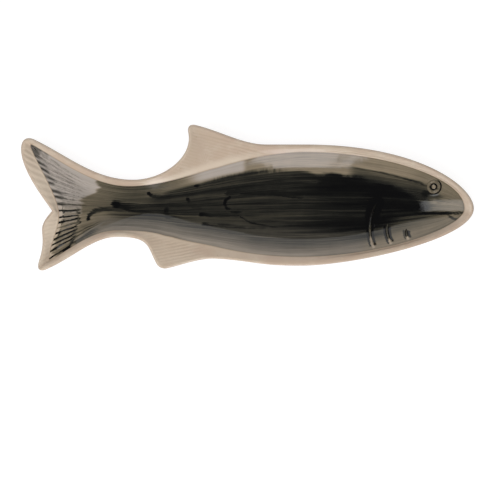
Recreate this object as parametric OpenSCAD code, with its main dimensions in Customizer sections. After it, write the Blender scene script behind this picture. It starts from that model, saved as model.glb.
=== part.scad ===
// Fish shaped serving platter: one moulded stoneware dish with fins, tail and foot ring, a painted
// glaze coat lining the hollow, and the raised eye, gill ridges and tail rays that lie on it.
// Sizes are in millimetres. Seen from above, x runs towards the nose and y towards the back, and
// y = 0 is the axis of the fish, through the nose. Heights are measured from the table.

/* [Body outline] */
// Tip of the nose
nose_x = 255; // [235:0.5:275]
// Highest point of the back, ahead of the dorsal fin
back_x = 66; // [45:0.5:90]
// Reach of the back from the axis
back_y = 72; // [64:0.5:80]
// Lowest point of the belly
belly_x = 59; // [40:0.5:80]
// Reach of the belly from the axis
belly_y = 64.5; // [58:0.5:72]
// Narrowest point of the back, ahead of the tail
stalk_back_x = -129; // [-140:0.5:-120]
// Reach of the back from the axis at its narrowest point
stalk_back_y = 32.5; // [28:0.5:38]
// Narrowest point of the belly, ahead of the tail
stalk_belly_x = -147; // [-155:0.5:-135]
// Reach of the belly from the axis at its narrowest point
stalk_belly_y = 32; // [28:0.5:38]

/* [Fins] */
// Where the dorsal fin leaves the back
dorsal_root_x = 22; // [5:0.5:35]
// Corner in which the edges of the dorsal fin would meet
dorsal_tip_x = -69; // [-80:0.5:-58]
// Reach of that corner from the axis
dorsal_tip_y = 96.5; // [86:0.5:108]
// Rounding of that corner, measured along the edges
dorsal_round = 11.5; // [6:0.5:16]
// Where the anal fin leaves the belly
anal_root_x = -36; // [-46:0.5:-20]
// Reach of the belly from the axis where the anal fin leaves it
anal_root_y = 56.5; // [52:0.5:62]
// Corner in which the edges of the anal fin would meet
anal_tip_x = -99; // [-106:0.5:-90]
// Reach of that corner from the axis
anal_tip_y = 69; // [62:0.5:76]
// Rounding of that corner, measured along the edges
anal_round = 8; // [5:0.5:12]

/* [Tail] */
// Corner in which the edges of the upper lobe would meet
lobe_back_x = -255; // [-270:0.5:-240]
// Reach of that corner from the axis
lobe_back_y = 85; // [74:0.5:96]
// Rounding of that corner, measured along the edges
lobe_back_round = 17; // [10:0.5:22]
// Corner in which the edges of the lower lobe would meet
lobe_belly_x = -240.5; // [-256:0.5:-228]
// Reach of that corner from the axis
lobe_belly_y = 75; // [66:0.5:86]
// Rounding of that corner, measured along the edges
lobe_belly_round = 16.5; // [10:0.5:20]
// Bottom of the fork between the lobes
fork_x = -220.5; // [-230:0.5:-205]
// Reach of the fork from the axis, towards the belly
fork_y = 3; // [0:0.5:8]

/* [Rim heights] */
// Rim along the body
rim_h = 31; // [27:0.5:38]
// Rim at the nose
nose_h = 30; // [26:0.5:38]
// Rim at the narrow stalk ahead of the tail
stalk_h = 25.5; // [22:0.5:32]
// Rim along the upper and lower edges of the tail
tail_crest_h = 29.5; // [25:0.5:36]
// Rim at the tips of the lobes
lobe_h = 24.5; // [22:0.5:32]
// Rim at the fork
fork_h = 27.5; // [25:0.5:34]
// Edge of the dorsal fin at its tip
dorsal_h = 34; // [28:0.5:42]
// Edge of the anal fin at its tip
anal_h = 28.5; // [25:0.5:36]

/* [Rim and painted edge] */
// Radius of the rounded rim
lip_r = 2.4; // [1.5:0.1:3]
// Width of the bare band between rim and paint, along the body
band_w = 8.5; // [7.5:0.5:12]
// Width of the bare band at the nose
nose_band = 10.5; // [8:0.5:20]
// Width of the bare band in the stalk
stalk_band = 7.4; // [7:0.1:9]
// Width of the bare band at the fork
fork_band = 8; // [7:0.5:12]
// Distance from the corner of a lobe to the corner of its paint, along the fish
lobe_band = 12; // [8:0.5:16]
// Fall of the band from the rim to the painted edge
paint_drop = 4; // [2:0.5:6]
// Height of the painted edge at the foot of the dorsal fin
dorsal_foot_h = 22.5; // [19:0.5:26]
// Height of the painted edge at the foot of the anal fin
anal_foot_h = 23; // [19:0.5:26]

/* [Hollow and foot] */
// Clay between the table and the floor of the hollow
floor_t = 9.3; // [7:0.1:12]
// Rise of the floor from its middle line to its edge
floor_dish = 0.7; // [0.2:0.1:2]
// From the rim to the corner of wall and floor, along the sides
wall_inset = 27; // [23:0.5:32]
// From the nose to the corner of wall and floor
wall_nose = 63; // [55:0.5:72]
// Half width of the floor in the stalk
floor_stalk_w = 6.5; // [4:0.5:9]
// Length over which the wall runs out into the floor
floor_fillet = 10; // [5:0.5:14]
// From the rim to the outer edge of the foot, along the sides
foot_inset = 22.5; // [18:0.5:26]
// From the nose to the front end of the foot
foot_nose = 55; // [46:0.5:62]
// Half width of the foot at its tail end
foot_stalk_w = 10.5; // [8:0.5:14]
// Tail end of the foot
foot_tail_x = -128; // [-136:0.5:-118]
// Width of the foot ring
foot_w = 6.5; // [4:0.5:8]
// Depth of the recess inside the foot ring
foot_recess = 2; // [0.5:0.1:4]
// Thickness of the fins where they leave the body
flange_t = 6; // [5:0.1:8]
// Height of the underside at the fork
tail_lift = 18; // [14:0.5:20]
// Thickness of the tail blade
blade_t = 7; // [5:0.1:9]

/* [Painted coat] */
// Thickness of the painted and glazed coat, measured upright
glaze_t = 0.8; // [0.4:0.1:1.5]
// Clearance under the raised details
relief_gap = 0.2; // [0.1:0.05:0.3]

/* [Eye] */
// From the nose back to the middle of the eye
eye_back = 44.7; // [38:0.1:56]
// From the axis to the middle of the eye
eye_y = 24.6; // [16:0.1:28]
// Outer radius of the raised ring
eye_r = 7.6; // [6:0.1:9]
// Width of the raised ring
eye_ring_w = 3; // [1.5:0.1:3.2]
// Height of the raised ring
eye_ring_h = 1.1; // [0.5:0.1:2]
// Radius of the pupil
pupil_r = 3.2; // [2:0.1:3.8]
// Height of the pupil
pupil_h = 1.3; // [0.6:0.1:2.5]

/* [Gill ridges] */
// From the nose back to the upper end of the rear ridge
gill_rear_back = 109; // [100:0.5:118]
// Reach of the upper end of the rear ridge from the axis
gill_rear_y = 6; // [0:0.5:12]
// From the nose back to the upper end of the middle ridge
gill_middle_back = 96; // [88:0.5:99]
// Reach of the upper end of the middle ridge below the axis
gill_middle_y = 17; // [12:0.5:22]
// From the nose back to the upper end of the front ridge
gill_front_back = 75; // [68:0.5:84]
// Reach of the upper end of the front ridge below the axis
gill_front_y = 23; // [20:0.5:27]
// Width of a ridge
gill_w = 4; // [2.5:0.1:6]
// Height of a ridge
gill_h = 1.4; // [0.6:0.1:2.5]
// From the painted edge to the lower end of a ridge
gill_margin = 3; // [2:0.5:6]

/* [Tail rays] */
// Rays on each lobe
rays_per_lobe = 10; // [5:1:12]
// From the tail end of the foot back to the point where the rays would meet
ray_hub_back = 10; // [5:0.5:20]
// From that point to the inner ends of the rays, along the fish
ray_start = 53; // [46:0.5:60]
// Width of a ray
ray_w = 2.4; // [1.2:0.1:2.8]
// Height of a ray
ray_h = 0.7; // [0.3:0.1:1.2]
// From the painted edge to the outer end of a ray
ray_margin = 3; // [2:0.5:8]

/* [Hidden] */

// Landmarks along one side of the fish, from the nose to the fork, counted as stations
NOSE = 0;
WIDEST = 1;
DORSAL_ROOT = 2;
ANAL_ROOT = 3;
DORSAL_FRONT = 4;
DORSAL_REAR = 5;
ANAL_FRONT = 6;
ANAL_REAR = 7;
STALK = 8;
LOBE_FRONT = 9;
LOBE_REAR = 10;
FORK = 11;
// Ribs of the dish from each landmark to the next
ribs_between = [16, 3, 4, 2, 4, 3, 3, 5, 11, 4, 9];

// Landmarks as points
nose = [nose_x, 0];
back_top = [back_x, back_y];
belly_low = [belly_x, -belly_y];
stalk_back = [stalk_back_x, stalk_back_y];
stalk_belly = [stalk_belly_x, -stalk_belly_y];
dorsal_root = [dorsal_root_x, back_y];
dorsal_tip = [dorsal_tip_x, dorsal_tip_y];
anal_root = [anal_root_x, -anal_root_y];
anal_tip = [anal_tip_x, -anal_tip_y];
lobe_back = [lobe_back_x, lobe_back_y];
lobe_belly = [lobe_belly_x, -lobe_belly_y];
fork = [fork_x, -fork_y];

// Headings, going from the nose to the fork
to_back = [0, 1];
to_tail = [-1, 0];
to_belly = [0, -1];
function facing(angle) = [cos(angle), sin(angle)];

function mix(a, b, t) = a + (b - a) * t;
function clamp(t) = min(1, max(0, t));
function ease(t) = let (c = clamp(t)) c * c * (3 - 2 * c);
function point(p, z) = [p[0], p[1], z];
function towards(a, b, distance, most) = mix(a, b, min(most, distance / norm(b - a)));
function bezier(a, b, c, d, t) =
    mix(mix(mix(a, b, t), mix(b, c, t), t), mix(mix(b, c, t), mix(c, d, t), t), t);

// A guide is a list of knots: [station, point, heading, pull before, pull after]. A pull is the length
// of the curve's handle, as a share of the distance to the neighbouring knot: a third if undefined.
function knot_before(list, station, k = 0) =
    k + 2 >= len(list) || station < list[k + 1][0] ? k : knot_before(list, station, k + 1);
function handle(pull, a, b) = (is_undef(pull) ? 1 / 3 : pull) * norm(b - a);
function guide_at(guide, station) =
    let (k = knot_before(guide, station))
    let (a = guide[k])
    let (b = guide[k + 1])
    bezier(a[1], a[1] + a[2] * handle(a[4], a[1], b[1]),
           b[1] - b[2] * handle(b[3], a[1], b[1]), b[1],
           (station - a[0]) / (b[0] - a[0]));
// A level is a list of [station, height], with smooth steps between them.
function level_at(level, station) =
    let (k = knot_before(level, station))
    let (a = level[k])
    let (b = level[k + 1])
    mix(a[1], b[1], ease((station - a[0]) / (b[0] - a[0])));
// Two knots that round the corner between the headings in to it and out of it
corner_fullness = 0.6;
function corner(front, rear, tip, turn, rounding, pull_in, pull_out) =
    let (in = turn[0])
    let (out = turn[1])
    let (pull = corner_fullness / norm(in + out))
    [[front, tip - rounding * in, in, pull_in, pull],
     [rear, tip + rounding * out, out, pull, pull_out]];

// Headings in to the corners of the fins and of the tail's lobes and out of them
dorsal_turn = [facing(166), facing(282)];
anal_turn = [facing(191), facing(118)];
lobe_back_turn = [facing(154), facing(268)];
lobe_belly_turn = [facing(204.5), facing(72)];
// Heading of the belly's edge where the anal fin leaves it
anal_root_heading = facing(177);
// Headings in to the fork along the upper and the lower lobe
fork_back_heading = facing(272);
fork_belly_heading = facing(48);

// Outer edge of the platter
outline_back = concat(
    [[NOSE, nose, to_back, undef, 0.124],
     [WIDEST, back_top, to_tail, 0.628, 0.5],
     [DORSAL_ROOT, dorsal_root, to_tail, 0.295, 0.326]],
    corner(DORSAL_FRONT, DORSAL_REAR, dorsal_tip, dorsal_turn, dorsal_round, 0.363, 0.343),
    [[STALK, stalk_back, to_tail, 0.416, 0.36]],
    corner(LOBE_FRONT, LOBE_REAR, lobe_back, lobe_back_turn, lobe_back_round, 0.368, 0.341),
    [[FORK, fork, fork_back_heading, 0.038, undef]]);
outline_belly = concat(
    [[NOSE, nose, to_belly, undef, 0.17],
     [WIDEST, belly_low, to_tail, 0.286, 0.514],
     [ANAL_ROOT, anal_root, anal_root_heading, 0.42, 0.32]],
    corner(ANAL_FRONT, ANAL_REAR, anal_tip, anal_turn, anal_round, 0.267, 0.412),
    [[STALK, stalk_belly, to_tail, 0.693, 0.301]],
    corner(LOBE_FRONT, LOBE_REAR, lobe_belly, lobe_belly_turn, lobe_belly_round, 0.393, 0.635),
    [[FORK, fork, fork_belly_heading, 0.549, undef]]);

// Painted edge. At a fin it stays with the side of the body: from one share to another of the way
// from the fin's root to the stalk, this much further in.
dorsal_foot = [0.37, 0.44];
dorsal_band = 1.35 * band_w;
dorsal_foot_heading = facing(197);
anal_foot = [0.43, 0.53];
anal_band = 1.6 * band_w;
anal_start_heading = facing(167);
anal_foot_heading = facing(163);
// Corners of the paint in the lobes, as shares of the lobe's band
paint_back_corner = [0.7, -0.9];
paint_back_turn = [facing(150), facing(292)];
paint_belly_corner = [1.3, 1.25];
paint_belly_turn = [facing(211), facing(81)];
paint_round = lobe_band / 2;
paint_nose = nose - [nose_band, 0];
paint_fork = fork + fork_band * [1, -0.6];
belly_band = 1.2 * band_w;
stalk_shift = [0.7 * stalk_band, 0];
function by_dorsal(share) = mix(dorsal_root, stalk_back, share) - [0, dorsal_band];
function by_anal(share) = mix(anal_root, stalk_belly, share) + [0, anal_band];
paint_back = concat(
    [[NOSE, paint_nose, to_back, undef, 0.19],
     [WIDEST, back_top - [0, band_w], to_tail, 0.44, undef],
     [DORSAL_FRONT, by_dorsal(dorsal_foot[0]), dorsal_foot_heading, undef, undef],
     [DORSAL_REAR, by_dorsal(dorsal_foot[1]), dorsal_foot_heading, undef, undef],
     [STALK, stalk_back - stalk_shift - [0, stalk_band], to_tail, undef, undef]],
    corner(LOBE_FRONT, LOBE_REAR, lobe_back + lobe_band * paint_back_corner, paint_back_turn,
           paint_round, 0.342, 0.313),
    [[FORK, paint_fork, to_belly, 0.241, undef]]);
paint_belly = concat(
    [[NOSE, paint_nose, to_belly, undef, 0.115],
     [WIDEST, belly_low + [0, belly_band], to_tail, 0.47, undef],
     [ANAL_ROOT, anal_root + [0, anal_band], anal_start_heading, undef, undef],
     [ANAL_FRONT, by_anal(anal_foot[0]), anal_foot_heading, undef, undef],
     [ANAL_REAR, by_anal(anal_foot[1]), anal_foot_heading, undef, undef],
     [STALK, stalk_belly + [0, stalk_band], to_tail, undef, undef]],
    corner(LOBE_FRONT, LOBE_REAR, lobe_belly + lobe_band * paint_belly_corner, paint_belly_turn,
           paint_round, 0.352, 0.379),
    [[FORK, paint_fork, to_back, 0.295, undef]]);

// Middle line of the dish, shared by both sides. In the tail it ends short of the painted edge, at
// these shares of the way from the foot.
spine_start = 2 * floor_fillet;
spine_tail = [0.44, 0.82];
spine_end_heading = facing(190);
function behind_foot(share) = mix([foot_tail_x, 0], paint_fork, share);
spine = [
    [NOSE, nose - [wall_nose + spine_start, 0], to_tail, undef, undef],
    [WIDEST, mix(back_top, belly_low, 0.5), to_tail, undef, undef],
    [STALK, [foot_tail_x + spine_start, 0], to_tail, undef, undef],
    [LOBE_FRONT, behind_foot(spine_tail[0]), to_tail, undef, undef],
    [FORK, behind_foot(spine_tail[1]), spine_end_heading, undef, undef]];

// A leaf runs round the middle of the dish: round the floor above and round the foot below. In the
// tail it keeps this share of the way from the painted edge to the middle line.
tail_leaf_share = 0.45;
leaf_stalk_run = floor_fillet;
function leaf(paint, hand, nose_gap, nose_pull, widest, stalk_w) = concat(
    [[NOSE, nose - [nose_gap, 0], hand * to_back, undef, nose_pull],
     [WIDEST, widest, to_tail, 0.53, 0.38],
     [STALK, [foot_tail_x + leaf_stalk_run, hand * stalk_w], to_tail, 0.215, undef]],
    [for (at = [LOBE_FRONT, LOBE_REAR, FORK])
        let (heading = [for (knot = paint) if (knot[0] == at) knot[2]][0])
        [at, mix(guide_at(paint, at), guide_at(spine, at), tail_leaf_share), heading, undef, undef]]);
floor_back = leaf(paint_back, 1, wall_nose, 0.135, back_top - [0, wall_inset], floor_stalk_w);
floor_belly = leaf(paint_belly, -1, wall_nose, 0.1, belly_low + [0, wall_inset], floor_stalk_w);
foot_back = leaf(paint_back, 1, foot_nose, 0.175, back_top - [0, foot_inset], foot_stalk_w);
foot_belly = leaf(paint_belly, -1, foot_nose, 0.08, belly_low + [0, foot_inset], foot_stalk_w);

// Heights of the rim and of the painted edge
tail_crest_share = 0.62;
tail_crest = mix(STALK, LOBE_FRONT, tail_crest_share);
rim_back = [[NOSE, nose_h], [WIDEST, rim_h], [DORSAL_ROOT, rim_h], [DORSAL_FRONT, dorsal_h],
    [DORSAL_REAR, dorsal_h], [STALK, stalk_h], [tail_crest, tail_crest_h], [LOBE_REAR, lobe_h],
    [FORK, fork_h]];
rim_belly = [[NOSE, nose_h], [WIDEST, rim_h], [ANAL_FRONT, anal_h], [ANAL_REAR, anal_h],
    [STALK, stalk_h], [tail_crest, tail_crest_h], [LOBE_REAR, lobe_h], [FORK, fork_h]];
paint_h_back = [[NOSE, nose_h - paint_drop], [WIDEST, rim_h - paint_drop],
    [DORSAL_FRONT, dorsal_foot_h], [DORSAL_REAR, dorsal_foot_h], [STALK, stalk_h - paint_drop],
    [tail_crest, tail_crest_h - paint_drop], [LOBE_REAR, lobe_h - paint_drop],
    [FORK, fork_h - paint_drop]];
paint_h_belly = [[NOSE, nose_h - paint_drop], [WIDEST, rim_h - paint_drop],
    [ANAL_FRONT, anal_foot_h], [ANAL_REAR, anal_foot_h], [STALK, stalk_h - paint_drop],
    [tail_crest, tail_crest_h - paint_drop], [LOBE_REAR, lobe_h - paint_drop],
    [FORK, fork_h - paint_drop]];

// The dish lies flat along the foot and rises to the fork in a parabola.
tail_run = foot_tail_x - fork_x;
function tail_rise(x) = 1 - pow(1 - clamp((foot_tail_x - x) / tail_run), 2);
function keel_h(x) = tail_lift * tail_rise(x);
function floor_h(x) = mix(floor_t, tail_lift + blade_t, tail_rise(x));
function recess_h(x) = foot_recess * ease((x - foot_tail_x) / foot_w - 1);

// Sides of the fish
OUTLINE = 0;
PAINT = 1;
FLOOR = 2;
FOOT = 3;
RIM_H = 4;
PAINT_H = 5;
HAND = 6;
back_side = [outline_back, paint_back, floor_back, foot_back, rim_back, paint_h_back, 1];
belly_side = [outline_belly, paint_belly, floor_belly, foot_belly, rim_belly, paint_h_belly, -1];

// Direction across the outline, towards the inside
function inward(side, station) =
    let (small = 0.002)
    let (at = mix(small, FORK - small, station / FORK))
    let (run = guide_at(side[OUTLINE], at + small) - guide_at(side[OUTLINE], at - small))
    side[HAND] * [-run[1], run[0]] / norm(run);
// Point of the round rim, turned up from its outermost line
function lip(side, station, turn) =
    point(guide_at(side[OUTLINE], station) + inward(side, station) * lip_r * (1 - cos(turn)),
          level_at(side[RIM_H], station) - lip_r + lip_r * sin(turn));
function paint_point(side, station) =
    point(guide_at(side[PAINT], station), level_at(side[PAINT_H], station));
// Ribs of the tail lie on its blade and not on the foot.
function in_tail(station) = ease(station - STALK);
lip_turn = 50;
wall_straight = 0.6;
// Heights of the wall's foot and of the fillet's end in the tail, as shares of the painted edge's
wall_hang = 0.4;
fillet_hang = 0.12;
// From the painted edge out to the corner of the underside
shoulder = 0.75 * flange_t;

// Upper face of one rib, from the rim to the painted edge
function rib_rim(side, station) =
    let (crown = lip(side, station, 90))
    let (paint = paint_point(side, station))
    [lip(side, station, 0), lip(side, station, lip_turn), crown,
     mix(crown, paint, 1 / 3), mix(crown, paint, 2 / 3), paint];

// Upper face of one rib inside the painted edge: wall, fillet and floor, to the middle line
function rib_hollow(side, station) =
    let (tail = in_tail(station))
    let (paint = paint_point(side, station))
    let (middle = guide_at(spine, station))
    let (low = floor_h(middle[0]))
    let (wall = guide_at(side[FLOOR], station))
    let (edge = towards(wall, middle, floor_fillet, 0.5))
    let (w = point(wall, mix(floor_h(wall[0]) + floor_dish, mix(low, paint[2], wall_hang), tail)))
    let (e = point(edge, mix(floor_h(edge[0]) + floor_dish / 2, mix(low, paint[2], fillet_hang), tail)))
    let (m = point(middle, low))
    concat([for (t = [0.25, 0.5, 0.75]) bezier(paint, mix(paint, w, wall_straight), w, e, t)],
           [e, mix(e, m, 0.5), m]);

// Lower face of one rib, from the rim to the middle line
function rib_under(side, station) =
    let (tail = in_tail(station))
    let (lip_under = lip(side, station, 90) - [0, 0, 2 * lip_r])
    let (paint = paint_point(side, station))
    let (band = norm(guide_at(side[OUTLINE], station) - guide_at(side[PAINT], station)))
    let (rim = point(guide_at(side[OUTLINE], station), level_at(side[RIM_H], station)))
    let (u = mix(paint, rim, shoulder / band) - [0, 0, flange_t])
    let (middle = guide_at(spine, station))
    let (foot = guide_at(side[FOOT], station))
    let (blade = mix(floor_h(middle[0]), paint[2], wall_hang) - blade_t)
    let (f = point(foot, mix(keel_h(foot[0]), blade, tail)))
    let (g = towards(foot, middle, foot_w, 0.4))
    let (h = towards(foot, middle, foot_w + foot_recess, 0.6))
    let (half = mix(blade, keel_h(middle[0]), 0.5))
    [lip(side, station, -lip_turn), lip_under, mix(lip_under, u, 0.5), u,
     mix(u, f, 1 / 3), mix(u, f, 2 / 3), f,
     point(g, mix(keel_h(g[0]), half, tail)),
     point(h, mix(keel_h(h[0]) + recess_h(h[0]), half, tail)),
     point(middle, keel_h(middle[0]) + recess_h(middle[0]))];

// Ribs round the dish: along the back from nose to fork, then along the belly from fork to nose
stations = concat([for (k = [0 : len(ribs_between) - 1])
    for (j = [0 : ribs_between[k] - 1]) k + j / ribs_between[k]], [FORK]);
side_ribs = len(stations) - 1;
rib_count = 2 * side_ribs;
function rib_side(i) = i <= side_ribs ? back_side : belly_side;
function rib_station(i) = stations[min(i, rib_count - i)];
rim_grid = [for (i = [0 : rib_count - 1]) rib_rim(rib_side(i), rib_station(i))];
hollow_grid = [for (i = [0 : rib_count - 1]) rib_hollow(rib_side(i), rib_station(i))];
under_grid = [for (i = [0 : rib_count - 1]) rib_under(rib_side(i), rib_station(i))];

// The origin is under the middle of the platter.
outline_x = [for (rib = rim_grid) rib[0][0]];
outline_y = [for (rib = rim_grid) rib[0][1]];
centre = [(max(outline_x) + min(outline_x)) / 2, (max(outline_y) + min(outline_y)) / 2, 0];

// Closed skin over ribs of equal count that start and end on two middle lines. Ribs on opposite
// sides share the points of the middle lines.
function all_but_last(list) = [for (k = [0 : len(list) - 2]) list[k]];
function last(list) = list[len(list) - 1];
function reversed(list) = [for (k = [len(list) - 1 : -1 : 0]) list[k]];
function lowered(list, depth) = [for (p = list) p - [0, 0, depth]];
function middle_line(grid) = [for (i = [0 : side_ribs]) last(grid[i])];
function skin_index(i, k, count) =
    k < 0 ? rib_count * count + min(i, rib_count - i)
    : k == count ? rib_count * count + side_ribs + 1 + min(i, rib_count - i)
    : i * count + k;
// The facets between two ribs are split one way or the other, so that none is squeezed flat where
// the first and the last rib run along a middle line.
function split_back(i) = 2 * (i % side_ribs) < side_ribs;
module skin(ribs, first_line, last_line) {
    count = len(ribs[0]);
    faces = [for (i = [0 : rib_count - 1]) for (k = [-1 : count - 1])
        let (next = (i + 1) % rib_count)
        let (a = skin_index(i, k, count))
        let (b = skin_index(next, k, count))
        let (c = skin_index(next, k + 1, count))
        let (d = skin_index(i, k + 1, count))
        each split_back(i) == (2 * k > count) ? [[a, d, b], [d, c, b]] : [[a, c, b], [a, d, c]]];
    translate(-centre)
    polyhedron(concat([for (rib = ribs) each rib], first_line, last_line), faces);
}

module stoneware_body() {
    clay_grid = [for (rib = hollow_grid) lowered(rib, glaze_t)];
    color("#c8b29d")
    skin([for (i = [0 : rib_count - 1]) concat(reversed(all_but_last(under_grid[i])), rim_grid[i],
                                              all_but_last(clay_grid[i]))],
         middle_line(under_grid), middle_line(clay_grid));
}

module painted_glaze() {
    color("#6b645a")
    skin([for (i = [0 : rib_count - 1])
            let (coat = all_but_last(hollow_grid[i]))
            concat(reversed(lowered(coat, glaze_t)), [last(rim_grid[i])], coat)],
         lowered(middle_line(hollow_grid), glaze_t), middle_line(hollow_grid));
}

// Height of the painted surface over a point of the plan, measured on the facets of the coat
coat_ribs = [for (i = [0 : rib_count - 1]) concat([last(rim_grid[i])], hollow_grid[i])];
coat_triangles = [for (i = [0 : rib_count - 1]) for (k = [0 : len(coat_ribs[0]) - 2])
    let (a = coat_ribs[i][k])
    let (b = coat_ribs[(i + 1) % rib_count][k])
    let (c = coat_ribs[(i + 1) % rib_count][k + 1])
    let (d = coat_ribs[i][k + 1])
    each split_back(i) ? [[a, d, b], [d, c, b]] : [[a, c, b], [a, d, c]]];
function plan_cross(a, b) = a[0] * b[1] - a[1] * b[0];
function spans(t, p, axis) =
    p[axis] <= max(t[0][axis], t[1][axis], t[2][axis])
    && p[axis] >= min(t[0][axis], t[1][axis], t[2][axis]);
function surface_h(p) =
    let (tiny = 1e-6)
    let (found = [for (t = coat_triangles) if (spans(t, p, 0) && spans(t, p, 1))
        let (u = t[1] - t[0])
        let (v = t[2] - t[0])
        let (r = [p[0] - t[0][0], p[1] - t[0][1]])
        let (area = plan_cross(u, v))
        let (a = plan_cross(r, v) / area)
        let (b = plan_cross(u, r) / area)
        if (a >= -tiny && b >= -tiny && a + b <= 1 + tiny) t[0][2] + a * u[2] + b * v[2]])
    max(found) + relief_gap;
function on_coat(p, height) = point(p, surface_h(p) + height);

// Raised ridge along a path of plan points, tapered to both ends, with these shares of its width
// and height across it
ridge_across = [[-0.5, 0], [-0.3, 0.8], [0, 1], [0.3, 0.8], [0.5, 0]];
ridge_end = 0.35;
module ridge(path, width, height) {
    n = len(path) - 1;
    count = len(ridge_across);
    points = [for (i = [0 : n])
        let (run = path[min(n, i + 1)] - path[max(0, i - 1)])
        let (across = [-run[1], run[0]] / norm(run))
        let (full = mix(ridge_end, 1, sin(180 * i / n)))
        for (c = ridge_across) on_coat(path[i] + across * c[0] * width * full, c[1] * height * full)];
    sides = [for (i = [0 : n - 1]) for (k = [0 : count - 1])
        let (a = i * count + k)
        let (b = i * count + (k + 1) % count)
        each [[a, b, b + count], [a, b + count, a + count]]];
    ends = [for (k = [1 : count - 2])
        each [[0, k + 1, k], n * count * [1, 1, 1] + [0, k, k + 1]]];
    translate(-centre)
    polyhedron(points, concat(sides, ends));
}

eye = nose + [-eye_back, eye_y];
eye_sides = 24;
function eye_point(r, a, height) = on_coat(eye + r * facing(a), height);

module eye_ring() {
    count = len(ridge_across);
    ring_points = [for (i = [0 : eye_sides - 1]) for (c = ridge_across)
        eye_point(eye_r - eye_ring_w * (0.5 - c[0]), 360 * i / eye_sides, c[1] * eye_ring_h)];
    ring_faces = [for (i = [0 : eye_sides - 1]) for (k = [0 : count - 1])
        let (next = (i + 1) % eye_sides)
        let (a = i * count + k)
        let (b = i * count + (k + 1) % count)
        let (c = next * count + (k + 1) % count)
        let (d = next * count + k)
        each [[a, b, c], [a, c, d]]];
    color("#3d3833")
    translate(-centre)
    polyhedron(ring_points, ring_faces);
}

module eye_pupil() {
    rings = [[1, 0], [0.85, 0.6], [0.5, 0.92]];
    dome_points = concat(
        [for (c = rings) for (i = [0 : eye_sides - 1])
            eye_point(pupil_r * c[0], 360 * i / eye_sides, pupil_h * c[1])],
        [eye_point(0, 0, 0), eye_point(0, 0, pupil_h)]);
    under = len(rings) * eye_sides;
    dome_faces = [for (i = [0 : eye_sides - 1])
        let (next = (i + 1) % eye_sides)
        let (top = (len(rings) - 1) * eye_sides)
        each concat([[under, i, next], [under + 1, top + next, top + i]],
            [for (k = [0 : len(rings) - 2])
                let (a = k * eye_sides)
                let (b = a + eye_sides)
                each [[a + i, b + next, a + next], [a + i, b + i, b + next]]])];
    color("#565047")
    translate(-centre)
    polyhedron(dome_points, dome_faces);
}

// A gill ridge bends from its upper end down the belly's wall to the painted edge, which it meets at
// a share of the way from the nose to the belly's lowest point.
gill_steps = 16;
gill_bow = 0.1;
gill_rear_low = 0.69;
gill_low_step = 0.085;
module gill_ridge(back, y, order) {
    upper = nose + [-back, y];
    edge = guide_at(paint_belly, mix(NOSE, WIDEST, gill_rear_low - order * gill_low_step));
    lower = towards(edge, upper, gill_margin, 0.5);
    bend = mix(upper, lower, 0.5) - [2 * gill_bow * norm(lower - upper), 0];
    color("#8a8173")
    ridge([for (i = [0 : gill_steps])
            let (t = i / gill_steps)
            mix(mix(upper, bend, t), mix(bend, lower, t), t)], gill_w, gill_h);
}
module gill_ridge_rear() gill_ridge(gill_rear_back, gill_rear_y, 0);
module gill_ridge_middle() gill_ridge(gill_middle_back, -gill_middle_y, 1);
module gill_ridge_front() gill_ridge(gill_front_back, -gill_front_y, 2);

// The rays fan out from a hub ahead of the tail to the trailing edges of the paint.
ray_steps = 8;
module tail_rays() {
    hub = [foot_tail_x - ray_hub_back, 0];
    color("#5d564d")
    for (paint = [paint_back, paint_belly])
        for (i = [1 : rays_per_lobe]) {
            edge = guide_at(paint, mix(LOBE_REAR, FORK, (i - 0.5) / rays_per_lobe));
            inner = mix(hub, edge, min(0.9, ray_start / (hub[0] - edge[0])));
            outer = towards(edge, hub, ray_margin, 0.1);
            ridge([for (k = [0 : ray_steps]) mix(inner, outer, k / ray_steps)], ray_w, ray_h);
        }
}

stoneware_body();
painted_glaze();
eye_ring();
eye_pupil();
gill_ridge_rear();
gill_ridge_middle();
gill_ridge_front();
tail_rays();
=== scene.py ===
import math

import bpy
import numpy as np
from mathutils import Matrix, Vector
from mathutils.bvhtree import BVHTree


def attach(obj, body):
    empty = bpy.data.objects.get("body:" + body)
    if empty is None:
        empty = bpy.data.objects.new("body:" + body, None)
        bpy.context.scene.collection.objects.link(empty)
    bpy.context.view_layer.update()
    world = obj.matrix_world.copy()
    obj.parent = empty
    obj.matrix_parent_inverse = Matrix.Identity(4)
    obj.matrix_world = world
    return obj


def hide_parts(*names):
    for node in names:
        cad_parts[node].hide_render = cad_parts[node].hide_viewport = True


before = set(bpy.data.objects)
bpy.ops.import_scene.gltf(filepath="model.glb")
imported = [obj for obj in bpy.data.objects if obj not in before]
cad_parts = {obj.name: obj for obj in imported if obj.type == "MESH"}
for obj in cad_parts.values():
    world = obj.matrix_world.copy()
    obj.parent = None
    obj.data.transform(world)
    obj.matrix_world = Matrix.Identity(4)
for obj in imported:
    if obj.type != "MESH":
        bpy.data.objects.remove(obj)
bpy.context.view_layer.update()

# Sizes in millimetres, as in the construction: x runs towards the nose, y towards the back, and y = 0
# is the axis through the nose. The origin of the frame is under the middle of the platter.
MM = 0.001
DORSAL_ROUND, DORSAL_TURN = 11.5, (166, 282)
ANAL_ROUND, ANAL_TURN = 8, (191, 118)
LOBE_BACK_ROUND, LOBE_BELLY_ROUND = 17, 16.5
RIM_H, NOSE_H, STALK_H = 31, 30, 25.5
TAIL_CREST_H, LOBE_H, FORK_H = 29.5, 24.5, 27.5
DORSAL_H, ANAL_H = 34, 28.5
LIP_R = 2.4
BAND_W, NOSE_BAND, STALK_BAND, FORK_BAND, LOBE_BAND = 8.5, 10.5, 7.4, 8, 12
PAINT_DROP = 4
DORSAL_FOOT_H, ANAL_FOOT_H = 22.5, 23
FLOOR_T, FLOOR_DISH = 9.3, 0.7
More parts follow.
